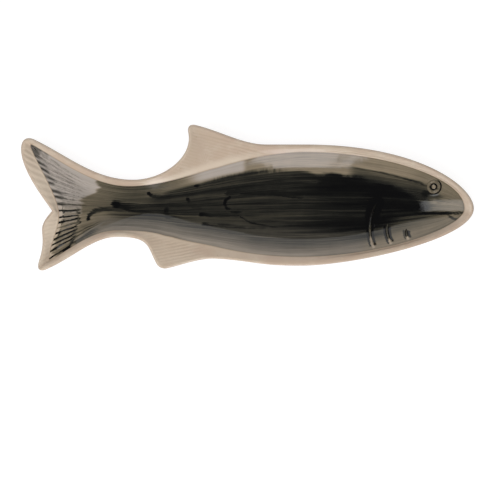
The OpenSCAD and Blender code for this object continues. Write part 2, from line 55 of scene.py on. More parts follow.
WALL_INSET, WALL_NOSE, FLOOR_STALK_W, FLOOR_FILLET = 27, 63, 6.5, 10
FOOT_INSET, FOOT_NOSE, FOOT_STALK_W, FOOT_TAIL_X = 22.5, 55, 10.5, -128
FOOT_W, FOOT_RECESS = 6.5, 2
FLANGE_T, TAIL_LIFT, BLADE_T = 6, 18, 7
GLAZE_T = 0.8
EYE_BACK, EYE_Y, EYE_R, EYE_RING_W, EYE_RING_H = 44.7, 24.6, 7.6, 3, 1.1
PUPIL_R, PUPIL_H = 3.2, 1.3
GILL_BACK = {"rear": 109, "middle": 96, "front": 75}
GILL_Y = {"rear": 6, "middle": -17, "front": -23}
GILL_W, GILL_H, GILL_MARGIN = 4, 1.4, 3
RAYS_PER_LOBE, RAY_HUB_BACK, RAY_START = 10, 10, 53
RAY_W, RAY_H, RAY_MARGIN = 2.4, 0.7, 3

# Landmarks along one side of the fish, from the nose to the fork, counted as stations
(NOSE, WIDEST, DORSAL_ROOT, ANAL_START, DORSAL_FRONT, DORSAL_REAR,
 ANAL_FRONT, ANAL_REAR, STALK, LOBE_FRONT, LOBE_REAR, FORK) = range(12)
RIBS_BETWEEN = (16, 3, 4, 2, 4, 3, 3, 5, 11, 4, 9)
FINER = 10
TO_BACK, TO_TAIL, TO_BELLY = 90, 180, 270


# Curves

TINY = 1e-9


def mix(a, b, t):
    return a + (b - a) * t


def ease(t):
    c = np.clip(t, 0, 1)
    return c * c * (3 - 2 * c)


def between(low, high, value):
    """A smooth step from 0 at low to 1 at high. It falls along the value where low is the larger one."""
    return ease((value - low) / (high - low))


def window(start, full, fade, end, value):
    """1 from full to fade, and smoothly 0 before the start and after the end."""
    return between(start, full, value) * between(end, fade, value)


def vec(*numbers):
    return np.array(numbers, float)


def ahead(heading):
    turn = math.radians(heading)
    return vec(math.cos(turn), math.sin(turn))


def norm(v, keep=False):
    return np.linalg.norm(v, axis=-1, keepdims=keep)


def unit(v):
    return v / np.maximum(norm(v, keep=True), TINY)


def bezier(a, b, c, d, t):
    s = 1 - t
    return a * s**3 + 3 * b * s * s * t + 3 * c * s * t * t + d * t**3


def knots_at(list_of_knots, stations):
    """For each station, the number of the knot before it and the share of the way to the next one."""
    starts = np.array([knot[0] for knot in list_of_knots], float)
    at = np.atleast_1d(np.asarray(stations, float))
    k = np.clip(np.searchsorted(starts, at, side="right") - 1, 0, len(starts) - 2)
    return k, (at - starts[k]) / (starts[k + 1] - starts[k])


def guide_at(guide, stations):
    """Points of a guide, whose knots are (station, point, heading, pull before, pull after). A pull is
    the length of the curve's handle as a share of the distance to the neighbouring knot, and a third
    where it is left out."""
    k, t = knots_at(guide, stations)
    points = np.array([knot[1] for knot in guide], float)
    headings = np.array([ahead(knot[2]) for knot in guide])
    before, after = (np.array([[(*knot, None, None)[pull] or 1 / 3] for knot in guide]) for pull in (3, 4))
    a, b = points[k], points[k + 1]
    chord = norm(b - a, keep=True)
    return bezier(a, a + headings[k] * after[k] * chord,
                  b - headings[k + 1] * before[k + 1] * chord, b, t[:, None])


def table_at(table, places):
    """Values of a table of (place, value), even between its places."""
    return np.interp(places, *zip(*table))


def level_at(level, stations):
    """Heights of a list of (station, height), eased from each to the next."""
    k, t = knots_at(level, stations)
    heights = np.array([knot[1] for knot in level], float)
    return mix(heights[k], heights[k + 1], ease(t))


def corner(front, rear, tip, turn, rounding, pull_in, pull_out):
    """Two knots that round the corner between the headings in to it and out of it."""
    fullness = 0.6
    way_in, way_out = ahead(turn[0]), ahead(turn[1])
    pull = fullness / norm(way_in + way_out)
    return [(front, tip - rounding * way_in, turn[0], pull_in, pull),
            (rear, tip + rounding * way_out, turn[1], pull, pull_out)]


def towards(a, b, distance, most):
    gap = norm(b - a, keep=True)
    return mix(a, b, np.minimum(most, distance / np.maximum(gap, TINY)))


# Guides of the dish

nose, fork, foot_end = vec(255, 0), vec(-220.5, -3), vec(FOOT_TAIL_X, 0)
back_top, belly_low = vec(66, 72), vec(59, -64.5)
stalk_back, stalk_belly = vec(-129, 32.5), vec(-147, -32)
dorsal_root, anal_root = vec(22, back_top[1]), vec(-36, -56.5)
dorsal_tip, anal_tip = vec(-69, 96.5), vec(-99, -69)
lobe_back, lobe_belly = vec(-255, 85), vec(-240.5, -75)

outline_back = [
    (NOSE, nose, TO_BACK, None, 0.124),
    (WIDEST, back_top, TO_TAIL, 0.628, 0.5),
    (DORSAL_ROOT, dorsal_root, TO_TAIL, 0.295, 0.326),
    *corner(DORSAL_FRONT, DORSAL_REAR, dorsal_tip, DORSAL_TURN, DORSAL_ROUND, 0.363, 0.343),
    (STALK, stalk_back, TO_TAIL, 0.416, 0.36),
    *corner(LOBE_FRONT, LOBE_REAR, lobe_back, (154, 268), LOBE_BACK_ROUND, 0.368, 0.341),
    (FORK, fork, 272, 0.038)]
outline_belly = [
    (NOSE, nose, TO_BELLY, None, 0.17),
    (WIDEST, belly_low, TO_TAIL, 0.286, 0.514),
    (ANAL_START, anal_root, 177, 0.42, 0.32),
    *corner(ANAL_FRONT, ANAL_REAR, anal_tip, ANAL_TURN, ANAL_ROUND, 0.267, 0.412),
    (STALK, stalk_belly, TO_TAIL, 0.693, 0.301),
    *corner(LOBE_FRONT, LOBE_REAR, lobe_belly, (204.5, 72), LOBE_BELLY_ROUND, 0.393, 0.635),
    (FORK, fork, 48, 0.549)]

paint_round = LOBE_BAND / 2
paint_nose = nose - vec(NOSE_BAND, 0)
paint_fork = fork + FORK_BAND * vec(1, -0.6)
dorsal_band, anal_band = vec(0, 1.35 * BAND_W), vec(0, 1.6 * BAND_W)
paint_back = [
    (NOSE, paint_nose, TO_BACK, None, 0.19),
    (WIDEST, back_top - vec(0, BAND_W), TO_TAIL, 0.44),
    (DORSAL_FRONT, mix(dorsal_root, stalk_back, 0.37) - dorsal_band, 197),
    (DORSAL_REAR, mix(dorsal_root, stalk_back, 0.44) - dorsal_band, 197),
    (STALK, stalk_back - STALK_BAND * vec(0.7, 1), TO_TAIL),
    *corner(LOBE_FRONT, LOBE_REAR, lobe_back + LOBE_BAND * vec(0.7, -0.9), (150, 292),
            paint_round, 0.342, 0.313),
    (FORK, paint_fork, TO_BELLY, 0.241)]
paint_belly = [
    (NOSE, paint_nose, TO_BELLY, None, 0.115),
    (WIDEST, belly_low + vec(0, 1.2 * BAND_W), TO_TAIL, 0.47),
    (ANAL_START, anal_root + anal_band, 167),
    (ANAL_FRONT, mix(anal_root, stalk_belly, 0.43) + anal_band, 163),
    (ANAL_REAR, mix(anal_root, stalk_belly, 0.53) + anal_band, 163),
    (STALK, stalk_belly + vec(0, STALK_BAND), TO_TAIL),
    *corner(LOBE_FRONT, LOBE_REAR, lobe_belly + LOBE_BAND * vec(1.3, 1.25), (211, 81),
            paint_round, 0.352, 0.379),
    (FORK, paint_fork, TO_BACK, 0.295)]

SPINE_START = 20
spine = [
    (NOSE, nose - vec(WALL_NOSE + SPINE_START, 0), TO_TAIL),
    (WIDEST, mix(back_top, belly_low, 0.5), TO_TAIL),
    (STALK, foot_end + vec(SPINE_START, 0), TO_TAIL),
    (LOBE_FRONT, mix(foot_end, paint_fork, 0.44), TO_TAIL),
    (FORK, mix(foot_end, paint_fork, 0.82), 190)]


def leaf(paint, hand, nose_gap, nose_pull, widest, stalk_w):
    """A guide round the floor or the foot. In the tail it lies between the painted edge and the spine."""
    tail_share, stalk_run = 0.45, 10
    heading = {knot[0]: knot[2] for knot in paint}
    return [
        (NOSE, nose - vec(nose_gap, 0), hand * TO_BACK, None, nose_pull),
        (WIDEST, widest, TO_TAIL, 0.53, 0.38),
        (STALK, foot_end + vec(stalk_run, hand * stalk_w), TO_TAIL, 0.215),
        *[(at, mix(guide_at(paint, at)[0], guide_at(spine, at)[0], tail_share), heading[at])
          for at in (LOBE_FRONT, LOBE_REAR, FORK)]]


tail_crest = mix(STALK, LOBE_FRONT, 0.62)
TAIL_RIM = [(STALK, STALK_H), (tail_crest, TAIL_CREST_H), (LOBE_REAR, LOBE_H), (FORK, FORK_H)]


def lowered_levels(levels):
    return [(at, height - PAINT_DROP) for at, height in levels]


def make_side(hand, outline, paint, widest, pulls, root, fin, fin_h, fin_foot_h):
    """Guides and levels of one side of the dish."""
    inset = vec(0, -hand)
    front = [(NOSE, NOSE_H), (WIDEST, RIM_H)]
    return {
        "hand": hand, "outline": outline, "paint": paint,
        "floor": leaf(paint, hand, WALL_NOSE, pulls[0], widest + WALL_INSET * inset, FLOOR_STALK_W),
        "foot": leaf(paint, hand, FOOT_NOSE, pulls[1], widest + FOOT_INSET * inset, FOOT_STALK_W),
        "rim_h": front + root + [(at, fin_h) for at in fin] + TAIL_RIM,
        "paint_h": lowered_levels(front) + [(at, fin_foot_h) for at in fin] + lowered_levels(TAIL_RIM)}


back_side = make_side(1, outline_back, paint_back, back_top, (0.135, 0.175), [(DORSAL_ROOT, RIM_H)],
                      (DORSAL_FRONT, DORSAL_REAR), DORSAL_H, DORSAL_FOOT_H)
belly_side = make_side(-1, outline_belly, paint_belly, belly_low, (0.1, 0.08), [],
                       (ANAL_FRONT, ANAL_REAR), ANAL_H, ANAL_FOOT_H)


def tail_rise(x):
    run = FOOT_TAIL_X - fork[0]
    return 1 - (1 - np.clip((FOOT_TAIL_X - x) / run, 0, 1)) ** 2


def keel_h(x):
    return TAIL_LIFT * tail_rise(x)


def floor_h(x):
    return mix(FLOOR_T, TAIL_LIFT + BLADE_T, tail_rise(x))


def recess_h(x):
    return FOOT_RECESS * ease((x - FOOT_TAIL_X) / FOOT_W - 1)


def raised(plan, z):
    """Points of the plan at these heights."""
    return np.append(plan, np.broadcast_to(np.asarray(z, float), plan.shape[:-1])[..., None], axis=-1)


def inward(side, stations):
    small = 0.002
    at = mix(small, FORK - small, stations / FORK)
    run = guide_at(side["outline"], at + small) - guide_at(side["outline"], at - small)
    return side["hand"] * unit(np.stack([-run[:, 1], run[:, 0]], axis=1))


def lip(side, stations, turn):
    """Points of the round rim, turned up from its outermost line."""
    a = math.radians(turn)
    plan = guide_at(side["outline"], stations) + inward(side, stations) * LIP_R * (1 - math.cos(a))
    return raised(plan, level_at(side["rim_h"], stations) - LIP_R + LIP_R * math.sin(a))


# Ribs: smooth cross-sections of the dish, one for each station of a side

LIP_STEPS, BAND_STEPS, WALL_STEPS, FLOOR_STEPS = 12, 26, 34, 32
UNDER_RIM_STEPS, UNDER_WALL_STEPS, RECESS_STEPS = 6, 14, 6
WALL_HANG, FILLET_HANG = 0.4, 0.12
RIM_PULL, WALL_PULL, UNDER_PULL = 0.3, 0.55, 0.35
SHOULDER, UNDER_BULGE, FOOT_ROUND = 4.5, 1.6, 1


def steps(count):
    """Shares from one step after the start to the end."""
    return [(k + 1) / count for k in range(count)]


def stack(points):
    return np.stack(points, axis=1)


def rib_frame(side, s):
    """Points that the cross-sections share: crown, painted edge, wall foot, fillet end and middle."""
    tail = ease(s - STALK)
    crown = lip(side, s, 90)
    paint = raised(guide_at(side["paint"], s), level_at(side["paint_h"], s))
    middle = guide_at(spine, s)
    low = floor_h(middle[:, 0])
    wall = guide_at(side["floor"], s)
    edge = towards(wall, middle, FLOOR_FILLET, 0.5)
    hang = mix(low, paint[:, 2], WALL_HANG)
    fillet = mix(low, paint[:, 2], FILLET_HANG)
    w = raised(wall, mix(floor_h(wall[:, 0]) + FLOOR_DISH, hang, tail))
    e = raised(edge, mix(floor_h(edge[:, 0]) + FLOOR_DISH / 2, fillet, tail))
    return crown, paint, w, e, raised(middle, low)


def rib_lip(side, s):
    return stack([lip(side, s, mix(-90, 90, t)) for t in [0, *steps(LIP_STEPS)]])


def edge_slope(crown, paint, w):
    """Direction down across the painted edge, nearer to the wall's slope than to the band's."""
    return unit(0.4 * unit(paint - crown) + 0.6 * unit(w - paint))


def rib_band(side, s):
    """Upper face from the crown of the rim to the painted edge."""
    crown, paint, w, _, _ = rib_frame(side, s)
    pull = RIM_PULL * norm(paint - crown, keep=True)
    level_in = raised(inward(side, s), 0)
    slope = edge_slope(crown, paint, w)
    return stack([bezier(crown, crown + pull * level_in, paint - pull * slope, paint, t)
                  for t in steps(BAND_STEPS)])


def rib_hollow(side, s):
    """Upper face from the painted edge down the wall and across the floor, and the place on it: 0 at
    the painted edge, 1 at the end of the fillet and 2 on the middle line."""
    crown, paint, w, e, m = rib_frame(side, s)
    slope = edge_slope(crown, paint, w)
    fall = norm(w - paint, keep=True)
    places = [0, *steps(WALL_STEPS)]
    rows = [bezier(paint, paint + WALL_PULL * fall * slope, w, e, t) for t in places]
    for t in steps(FLOOR_STEPS):
        point = mix(e, m, t)
        point[:, 2] = mix(m[:, 2], e[:, 2], (1 - t) ** 2)
        rows.append(point)
        places.append(1 + t)
    return stack(rows), np.array(places)


def rounded(a, tip, b, radius):
    """Three points that round the corner at tip."""
    start, end = towards(tip, a, radius, 0.45), towards(tip, b, radius, 0.45)
    return [start, (start + 2 * tip + end) / 4, end]


def rib_under(side, s):
    """Lower face from under the rim along the outer wall, the foot ring and its recess."""
    tail = ease(s - STALK)
    under = lip(side, s, -90)
    _, paint, _, _, middle = rib_frame(side, s)
    edge = guide_at(side["outline"], s)
    band = norm(edge - paint[:, :2], keep=True)
    rim = raised(edge, level_at(side["rim_h"], s))
    u = mix(paint, rim, SHOULDER / band) - vec(0, 0, FLANGE_T)
    foot = guide_at(side["foot"], s)
    blade = mix(middle[:, 2], paint[:, 2], WALL_HANG) - BLADE_T
    half = mix(blade, keel_h(middle[:, 0]), 0.5)
    g = towards(foot, middle[:, :2], FOOT_W, 0.4)
    h = towards(foot, middle[:, :2], FOOT_W + FOOT_RECESS, 0.6)
    f = raised(foot, mix(keel_h(foot[:, 0]), blade, tail))
    g = raised(g, mix(keel_h(g[:, 0]), half, tail))
    h = raised(h, mix(keel_h(h[:, 0]) + recess_h(h[:, 0]), half, tail))
    m = raised(middle[:, :2], keel_h(middle[:, 0]) + recess_h(middle[:, 0]))
    pull = RIM_PULL * norm(u - under, keep=True)
    level_in = raised(inward(side, s), 0)
    fall = unit(unit(u - under) + unit(f - u))
    rows = [bezier(under, under + pull * level_in, u - pull * fall, u, t)
            for t in steps(UNDER_RIM_STEPS)]
    drop = norm(f - u, keep=True)
    out = unit(u - m) * vec(1, 1, 0) - vec(0, 0, 0.7)
    belly = mix(u, f, 0.6) + UNDER_BULGE * (1 - tail)[:, None] * out
    corner_f = rounded(belly, f, g, FOOT_ROUND)
    rows += [bezier(u, u + UNDER_PULL * drop * fall, belly, corner_f[0], t) for t in steps(UNDER_WALL_STEPS)]
    rows += corner_f[1:]
    rows += rounded(f, g, h, FOOT_ROUND) + rounded(g, h, m, FOOT_ROUND)
    rows += [mix(h, m, t) for t in steps(RECESS_STEPS)]
    return stack(rows)


stations = np.array([k + j / (count * FINER) for k, count in enumerate(RIBS_BETWEEN)
                     for j in range(count * FINER)] + [float(FORK)])
side_ribs = len(stations) - 1
rib_count = 2 * side_ribs


def round_the_dish(rib):
    """Ribs along the back from the nose to the fork, then along the belly from the fork to the nose."""
    return np.concatenate([rib(back_side, stations), rib(belly_side, stations[-2:0:-1])])


lip_grid = round_the_dish(rib_lip)
band_grid = round_the_dish(rib_band)
hollow_grid = round_the_dish(lambda side, s: rib_hollow(side, s)[0])
hollow_place = rib_hollow(back_side, stations[:2])[1]
under_grid = round_the_dish(rib_under)
rib_stations = np.concatenate([stations, stations[-2:0:-1]])


SMOOTH_ROUNDS, LEAST_GAP = 240, 0.05


def smooth_tail(rounds):
    """Evens out the heights of the hollow in the stalk and the tail. The painted edge stays as it is."""
    opposite = -np.arange(rib_count) % rib_count
    z = np.append(hollow_grid[..., 2], hollow_grid[opposite, -2:-1, 2], axis=1)
    plan = np.append(hollow_grid[..., :2], hollow_grid[opposite, -2:-1, :2], axis=1)
    pull = 1 / np.maximum(norm(np.diff(plan, axis=1)), LEAST_GAP)
    pull_on = 1 / np.maximum(norm(np.roll(plan, -1, axis=0) - plan), LEAST_GAP)[:, 1:-1]
    pull_back = np.roll(pull_on, 1, axis=0)
    share = 0.5 * between(STALK - 0.6, STALK + 0.2, rib_stations)[:, None]
    for _ in range(rounds):
        inner = z[:, 1:-1]
        across = (z[:, :-2] * pull[:, :-1] + z[:, 2:] * pull[:, 1:]) / (pull[:, :-1] + pull[:, 1:])
        along = np.roll(inner, -1, axis=0) * pull_on + np.roll(inner, 1, axis=0) * pull_back
        z[:, 1:-1] = mix(inner, (across + along / (pull_on + pull_back)) / 2, share)
        z[:, -1] = z[opposite, -3]
    hollow_grid[..., 2] = z[:, :-1]


def smooth_fins():
    """Heights of the fins from the heights round their edges, so that no fold runs in from their tips."""
    fin = window(WIDEST + 0.5, DORSAL_ROOT + 0.5, STALK - 0.7, STALK, rib_stations)
    for sign in (1, -1):
        on = (hand == sign) & (fin > 0)
        rim, paint = lip_grid[on, -1], band_grid[on, -1]
        edge = np.concatenate([rim, paint])
        length = np.concatenate([norm(np.gradient(line[:, :2], axis=0)) for line in (rim, paint)])
        inner = band_grid[on, :-1]
        gap = norm(inner[:, :, None, :2] - edge[:, :2])
        pull = length / np.maximum(gap, LEAST_GAP) ** 2
        even = (pull * edge[:, 2]).sum(axis=-1) / pull.sum(axis=-1)
        band_grid[on, :-1, 2] = mix(inner[..., 2], even, fin[on][:, None])


hand = np.where(np.arange(rib_count) <= side_ribs, 1.0, -1.0)
smooth_tail(SMOOTH_ROUNDS)
smooth_fins()
rim_line = lip_grid[:, LIP_STEPS // 2]
centre = np.append((rim_line[:, :2].max(axis=0) + rim_line[:, :2].min(axis=0)) / 2, 0)
# The smooth outline bulges a little past the faceted one, so the plan is drawn in by this share
DRAWN_IN = vec(0.9992, 0.9992, 1)


# Lanes: lines along the fish from tail to nose, -1 on the belly's painted edge and 1 on the back's

LANE_HALF_MIN, LANE_STEPS = 3, 800


def lane_of(plan):
    at = np.linspace(LOBE_FRONT, NOSE, LANE_STEPS)
    back, belly = guide_at(paint_back, at), guide_at(paint_belly, at)
    top = np.interp(plan[..., 0], back[:, 0], back[:, 1])
    low = np.interp(plan[..., 0], belly[:, 0], belly[:, 1])
    half = np.maximum((top - low) / 2, LANE_HALF_MIN)
    return (plan[..., 1] - (top + low) / 2) / half


# Relief of the upper face, as heights over the plan

FIN_RAY_PITCH, FIN_RAY_DEPTH, TAIL_GROOVES = 3.5, 0.4, 1.2


def fin_rays(points, tip, heading):
    """Fine grooves along a fin, parallel to its leading edge: 0 on a ridge, 1 in a groove."""
    along = ahead(heading)
    off = (points[..., :2] - tip) @ vec(-along[1], along[0])
    return 0.5 - 0.5 * np.cos(2 * math.pi * off / FIN_RAY_PITCH)


def band_grooves():
    """Grooves of the bare band: on both fins, and faint ones that run on from the tail's rays."""
    reach = norm(band_grid[:, -1, :2] - rim_line[:, :2])[:, None]
    share = np.array(steps(BAND_STEPS))[None, :]
    x = band_grid[..., 0]
    inside = window(0, 0.12, 0.75, 0.95, share)
    on_fin = inside * between(13, 22, reach) * between(-150, -120, x)
    back = fin_rays(band_grid, dorsal_tip, DORSAL_TURN[0])
    belly = fin_rays(band_grid, anal_tip, ANAL_TURN[0])
    on_tail = TAIL_GROOVES * inside * between(-205, -215, x) * (rib_stations > LOBE_REAR)[:, None]
    tail = 0.5 - 0.5 * np.cos(2 * math.pi * ray_number(band_grid[..., :2]))
    return on_fin * np.where(hand[:, None] > 0, back, belly) + on_tail * tail


GILL_LOW = {"rear": 0.69, "middle": 0.605, "front": 0.52}
GILL_BOW, GILL_STEPS = 0.1, 40


def gill_path(name):
    upper = nose + vec(-GILL_BACK[name], GILL_Y[name])
    lower = towards(guide_at(paint_belly, GILL_LOW[name])[0], upper, GILL_MARGIN, 0.5)
    bend = mix(upper, lower, 0.5) - vec(2 * GILL_BOW * norm(lower - upper), 0)
    t = np.linspace(0, 1, GILL_STEPS + 1)[:, None]
    return mix(mix(upper, bend, t), mix(bend, lower, t), t)


def beside(path, plan):
    """Distance of plan points to a path that runs towards the belly, above 0 on its nose side, and the
    share of the path at the nearest point."""
    near = np.full(plan.shape[:-1], 1e9)
    share = np.zeros(plan.shape[:-1])
    sign = np.ones(plan.shape[:-1])
    for k in range(len(path) - 1):
        run = path[k + 1] - path[k]
        rel = plan - path[k]
        t = np.clip(rel @ run / (run @ run), 0, 1)
        off = rel - t[..., None] * run
        distance = norm(off)
        closer = distance < near
        near = np.where(closer, distance, near)
        share = np.where(closer, (k + t) / (len(path) - 1), share)
        sign = np.where(closer, np.where(off @ vec(-run[1], run[0]) > 0, 1.0, -1.0), sign)
    return near * sign, share


ray_hub = foot_end - vec(RAY_HUB_BACK, 0)
ray_at = [mix(LOBE_REAR, FORK, (i + 0.5) / RAYS_PER_LOBE) for i in range(RAYS_PER_LOBE)]
ray_edges = np.concatenate([guide_at(paint_back, ray_at), guide_at(paint_belly, ray_at)[::-1]])


def round_hub(plan):
    """Angle round the hub of the tail's rays, from the upper lobe to the lower, and distance from it."""
    rel = plan - ray_hub
    return np.arctan2(-rel[..., 1], -rel[..., 0]), norm(rel)


ray_angles, _ = round_hub(ray_edges)
ray_pitch = (ray_angles[-1] - ray_angles[0]) / (len(ray_angles) - 1)
ray_numbers = np.arange(-1, len(ray_angles) + 1)
ray_angles = np.concatenate([[ray_angles[0] - ray_pitch], ray_angles, [ray_angles[-1] + ray_pitch]])
ray_reach = norm(ray_edges - ray_hub)


def ray_number(plan):
    """Counted number of the ray at a point of the plan, whole on a ray and half between two."""
    angle, _ = round_hub(plan)
    return np.interp(angle, ray_angles, ray_numbers)


eye = nose + vec(-EYE_BACK, EYE_Y)

coat_plan = hollow_grid[..., :2]
coat_x = hollow_grid[..., 0]
place = np.broadcast_to(hollow_place[None, :], coat_x.shape)
lane = lane_of(coat_plan)
gills = {name: beside(gill_path(name), coat_plan) for name in GILL_BACK}
eye_gap = norm(coat_plan - eye)
eye_lean = (coat_plan - eye) @ ahead(-35) / np.maximum(eye_gap, 1)
edge_gap = norm(hollow_grid - hollow_grid[:, :1])
GROOVE_DEPTH = 0.45
band_groove = band_grooves()
band_grid[..., 2] -= FIN_RAY_DEPTH * band_groove


def carve_coat():
    """Grooves on the nose side of the gill ridges and round the eye."""
    depth = np.zeros(coat_x.shape)
    for gap, share in gills.values():
        ends = window(0, 0.15, 0.9, 1, share)
        depth = np.maximum(depth, ends * window(0.5, 2.5, 3.5, 6.5, gap))
    round_eye = window(EYE_R - 1, EYE_R + 0.4, EYE_R + 1, EYE_R + 2.9, eye_gap)
    depth = np.maximum(depth, round_eye)
    hollow_grid[..., 2] -= GROOVE_DEPTH * depth * between(0.5, 3.5, edge_gap)


carve_coat()


# Brushed wash: how dense the colour lies, 0 for bare clay and 1 for black

def noise(u, v, seed):
    """Smooth noise between -1 and 1 with a period of one along u and v."""
    size = 64
    lattice = np.random.default_rng(seed).uniform(-1, 1, (size, size))
    i, j = np.floor(u).astype(int), np.floor(v).astype(int)
    fu, fv = ease(u - i), ease(v - j)
    a, b = lattice[i % size, j % size], lattice[(i + 1) % size, j % size]
    c, d = lattice[i % size, (j + 1) % size], lattice[(i + 1) % size, (j + 1) % size]
    return mix(mix(a, b, fu), mix(c, d, fu), fv)


# Borders of the dark zone towards the back and the belly, the density in it from tail to nose, and a line
# along the far wall behind the eye
DARK_TOP = ((-160, -1), (-154, 1), (-140, 4), (-120, 6), (-100, 14), (-87, 20), (-70, 25), (-53, 29),
            (-28, 36.5), (-2, 41.3), (9, 42), (30, 43), (48, 43), (59, 43), (68, 42), (78, 39), (87, 38.5),
            (95, 40.5), (101, 39.5), (109, 37), (116, 36), (124, 35.5), (138, 31.5), (160, 27), (174, 22),
            (190, 12), (200, 2), (215, -10))
DARK_LOW = ((-160, -6), (-154, -8), (-140, -9), (-120, -9.5), (-100, -10), (-87, -10.5), (-53, -10),
            (-20, -14), (9, -17), (60, -24), (93, -26), (138, -28), (150, -23), (160, -18), (172, -11),
            (200, -4), (215, 8))
DARK_WASH = ((-165, 0.62), (-150, 0.72), (-125, 0.80), (-100, 0.85), (-60, 0.84), (-20, 0.83), (40, 0.84),
             (100, 0.94), (200, 1))
HEAD_LINE = ((118, 48), (155, 40), (171, 35.7), (194, 29.2), (206, 24))
FAR_WALL_WASH, NEAR_WALL_WASH, STALK_WALL_WASH, STALK_LOW_WASH = 0.47, 0.43, 0.70, 0.55
# The first density here is that of the painted reflection patch on the far wall
REFLECTION_PATCH_WASH, WORN_WASH, BARE_WASH, POOL_WASH = 0.18, 0.16, 0.08, 1.14
# The upper lobe's light density stands partly for thin wash and partly for a painted reflection of a pale
# sky
LOWER_LOBE_WASH, UPPER_LOBE_REFLECTED_WASH = 0.46, 0.22
# Strokes of a wet brush: points of the path from the place where it is laid down, width, density at the
# start and density where it is lifted
STROKES = (
    (((-180, -11), (-178, -7), (-171, -2), (-156, 0), (-120, -2), (-60, -5)), 5, 1.02, 0.84),
    (((-150, 5.5), (-144, 3.5), (-132, 1), (-118, -1), (-90, -2)), 8, 1.10, 0.94),
    (((-112, 17), (-107, 14), (-98, 13), (-70, 14)), 3.5, 1.04, 0.88),
    (((-68, 11), (-65, 6), (-61, 1), (-40, -2)), 3.5, 1.00, 0.88),
    (((-92, -2), (-91, -9), (-80, -8), (-50, -7)), 6, 0.96, 0.85),
    (((-53, -6), (-40, -7), (-20, -7.5), (20, -9)), 4, 1.00, 0.88),
    (((-58, 25.5), (-54, 24), (-44, 26), (-14, 35)), 3.5, 1.04, 0.86),
    (((-20, 13), (-25, 10), (-26, 5), (-23, 0), (-16, -3), (-8, -3.5)), 3, 1.08, 1.02),
    (((-50, -18), (-30, -19), (0, -20), (50, -22)), 4, 0.92, 0.85),
    (((-8, 17), (30, 16), (67, 11), (100, 8)), 1.8, 0.97, 0.94),
    (((-8, -9), (3, -15.7), (29, -21), (54, -24)), 1.5, 0.95, 0.92),
    (((-20, 18), (10, 20), (60, 26), (110, 26)), 10, 0.90, 0.88),
    (((90, 30), (130, 26), (160, 18), (196, 2)), 16, 0.96, 1.00),
    (((150, 6), (170, 4), (186, 1), (204, -3)), 9, 0.98, 1.00),
    (((190, 4), (205, 4), (222, 3.5)), 12, 0.98, 0.74),
    (((198, -5), (214, -5.2), (275, -5)), 3, 1.02, 0.96),
    (((202, 17), (210, 13), (225, 10)), 8, 0.94, 0.76),
    (((228, -9), (234, -12), (241, -14)), 3, 0.86, 0.80),
)
# Lower border of a painted reflection on the far wall: a light, cool patch of wash that stands for a lamp
# mirrored in the glaze
REFLECTION_PATCH_LOW = ((-62, 30.5), (-53, 31.5), (-28, 38), (-2, 43))


def stroke_over(density, path, width, start, end):
    """The density after one more stroke, which is darker where it starts and ragged where it ends."""
    gap, share = beside(np.array(path, float), coat_plan)
    bristles = noise(coat_x / 40 + path[0][0], lane * 42, 11) + 0.5 * noise(coat_x / 6, lane * 24, 12)
    off = np.abs(gap) / (width / 2)
    cover = between(1.25, 0.6, off + 0.45 * bristles)
    lift = between(1, 0.4, share + 0.3 * bristles)
    dense = mix(start, end, between(0.03, 0.3, share + 0.06 * bristles))
    return np.maximum(density, mix(density, dense, cover * lift))


# Wash of the lobes: khaki below, and light above, where it is partly a painted reflection
def lobe_wash_and_reflection(lane_value):
    return mix(LOWER_LOBE_WASH, UPPER_LOBE_REFLECTED_WASH, between(-0.3, 0.7, lane_value))


def on_lobes(plan):
    """1 on the tail's lobes, whose wash ends in a step towards the stalk, and 0 on the stalk. The step is
    also the sharp end of the painted reflection on the upper lobe.
    """
    x, y = plan[..., 0], plan[..., 1]
    frayed = noise(x / 12, y / 3.4, 14) + 0.6 * noise(x / 16, y / 1.5, 15)
    step = -170 - 18 * between(21, 9, y + 1.5 * frayed)
    return between(3, -3, x - step + 4 * frayed)


# Painted reflection: 1 where a lamp would mirror in the far wall
def painted_reflection_patch():
    above = coat_plan[..., 1] - table_at(REFLECTION_PATCH_LOW, coat_x)
    return window(-74, -48, -7, 0.5, coat_x) * between(-4, 3, above)


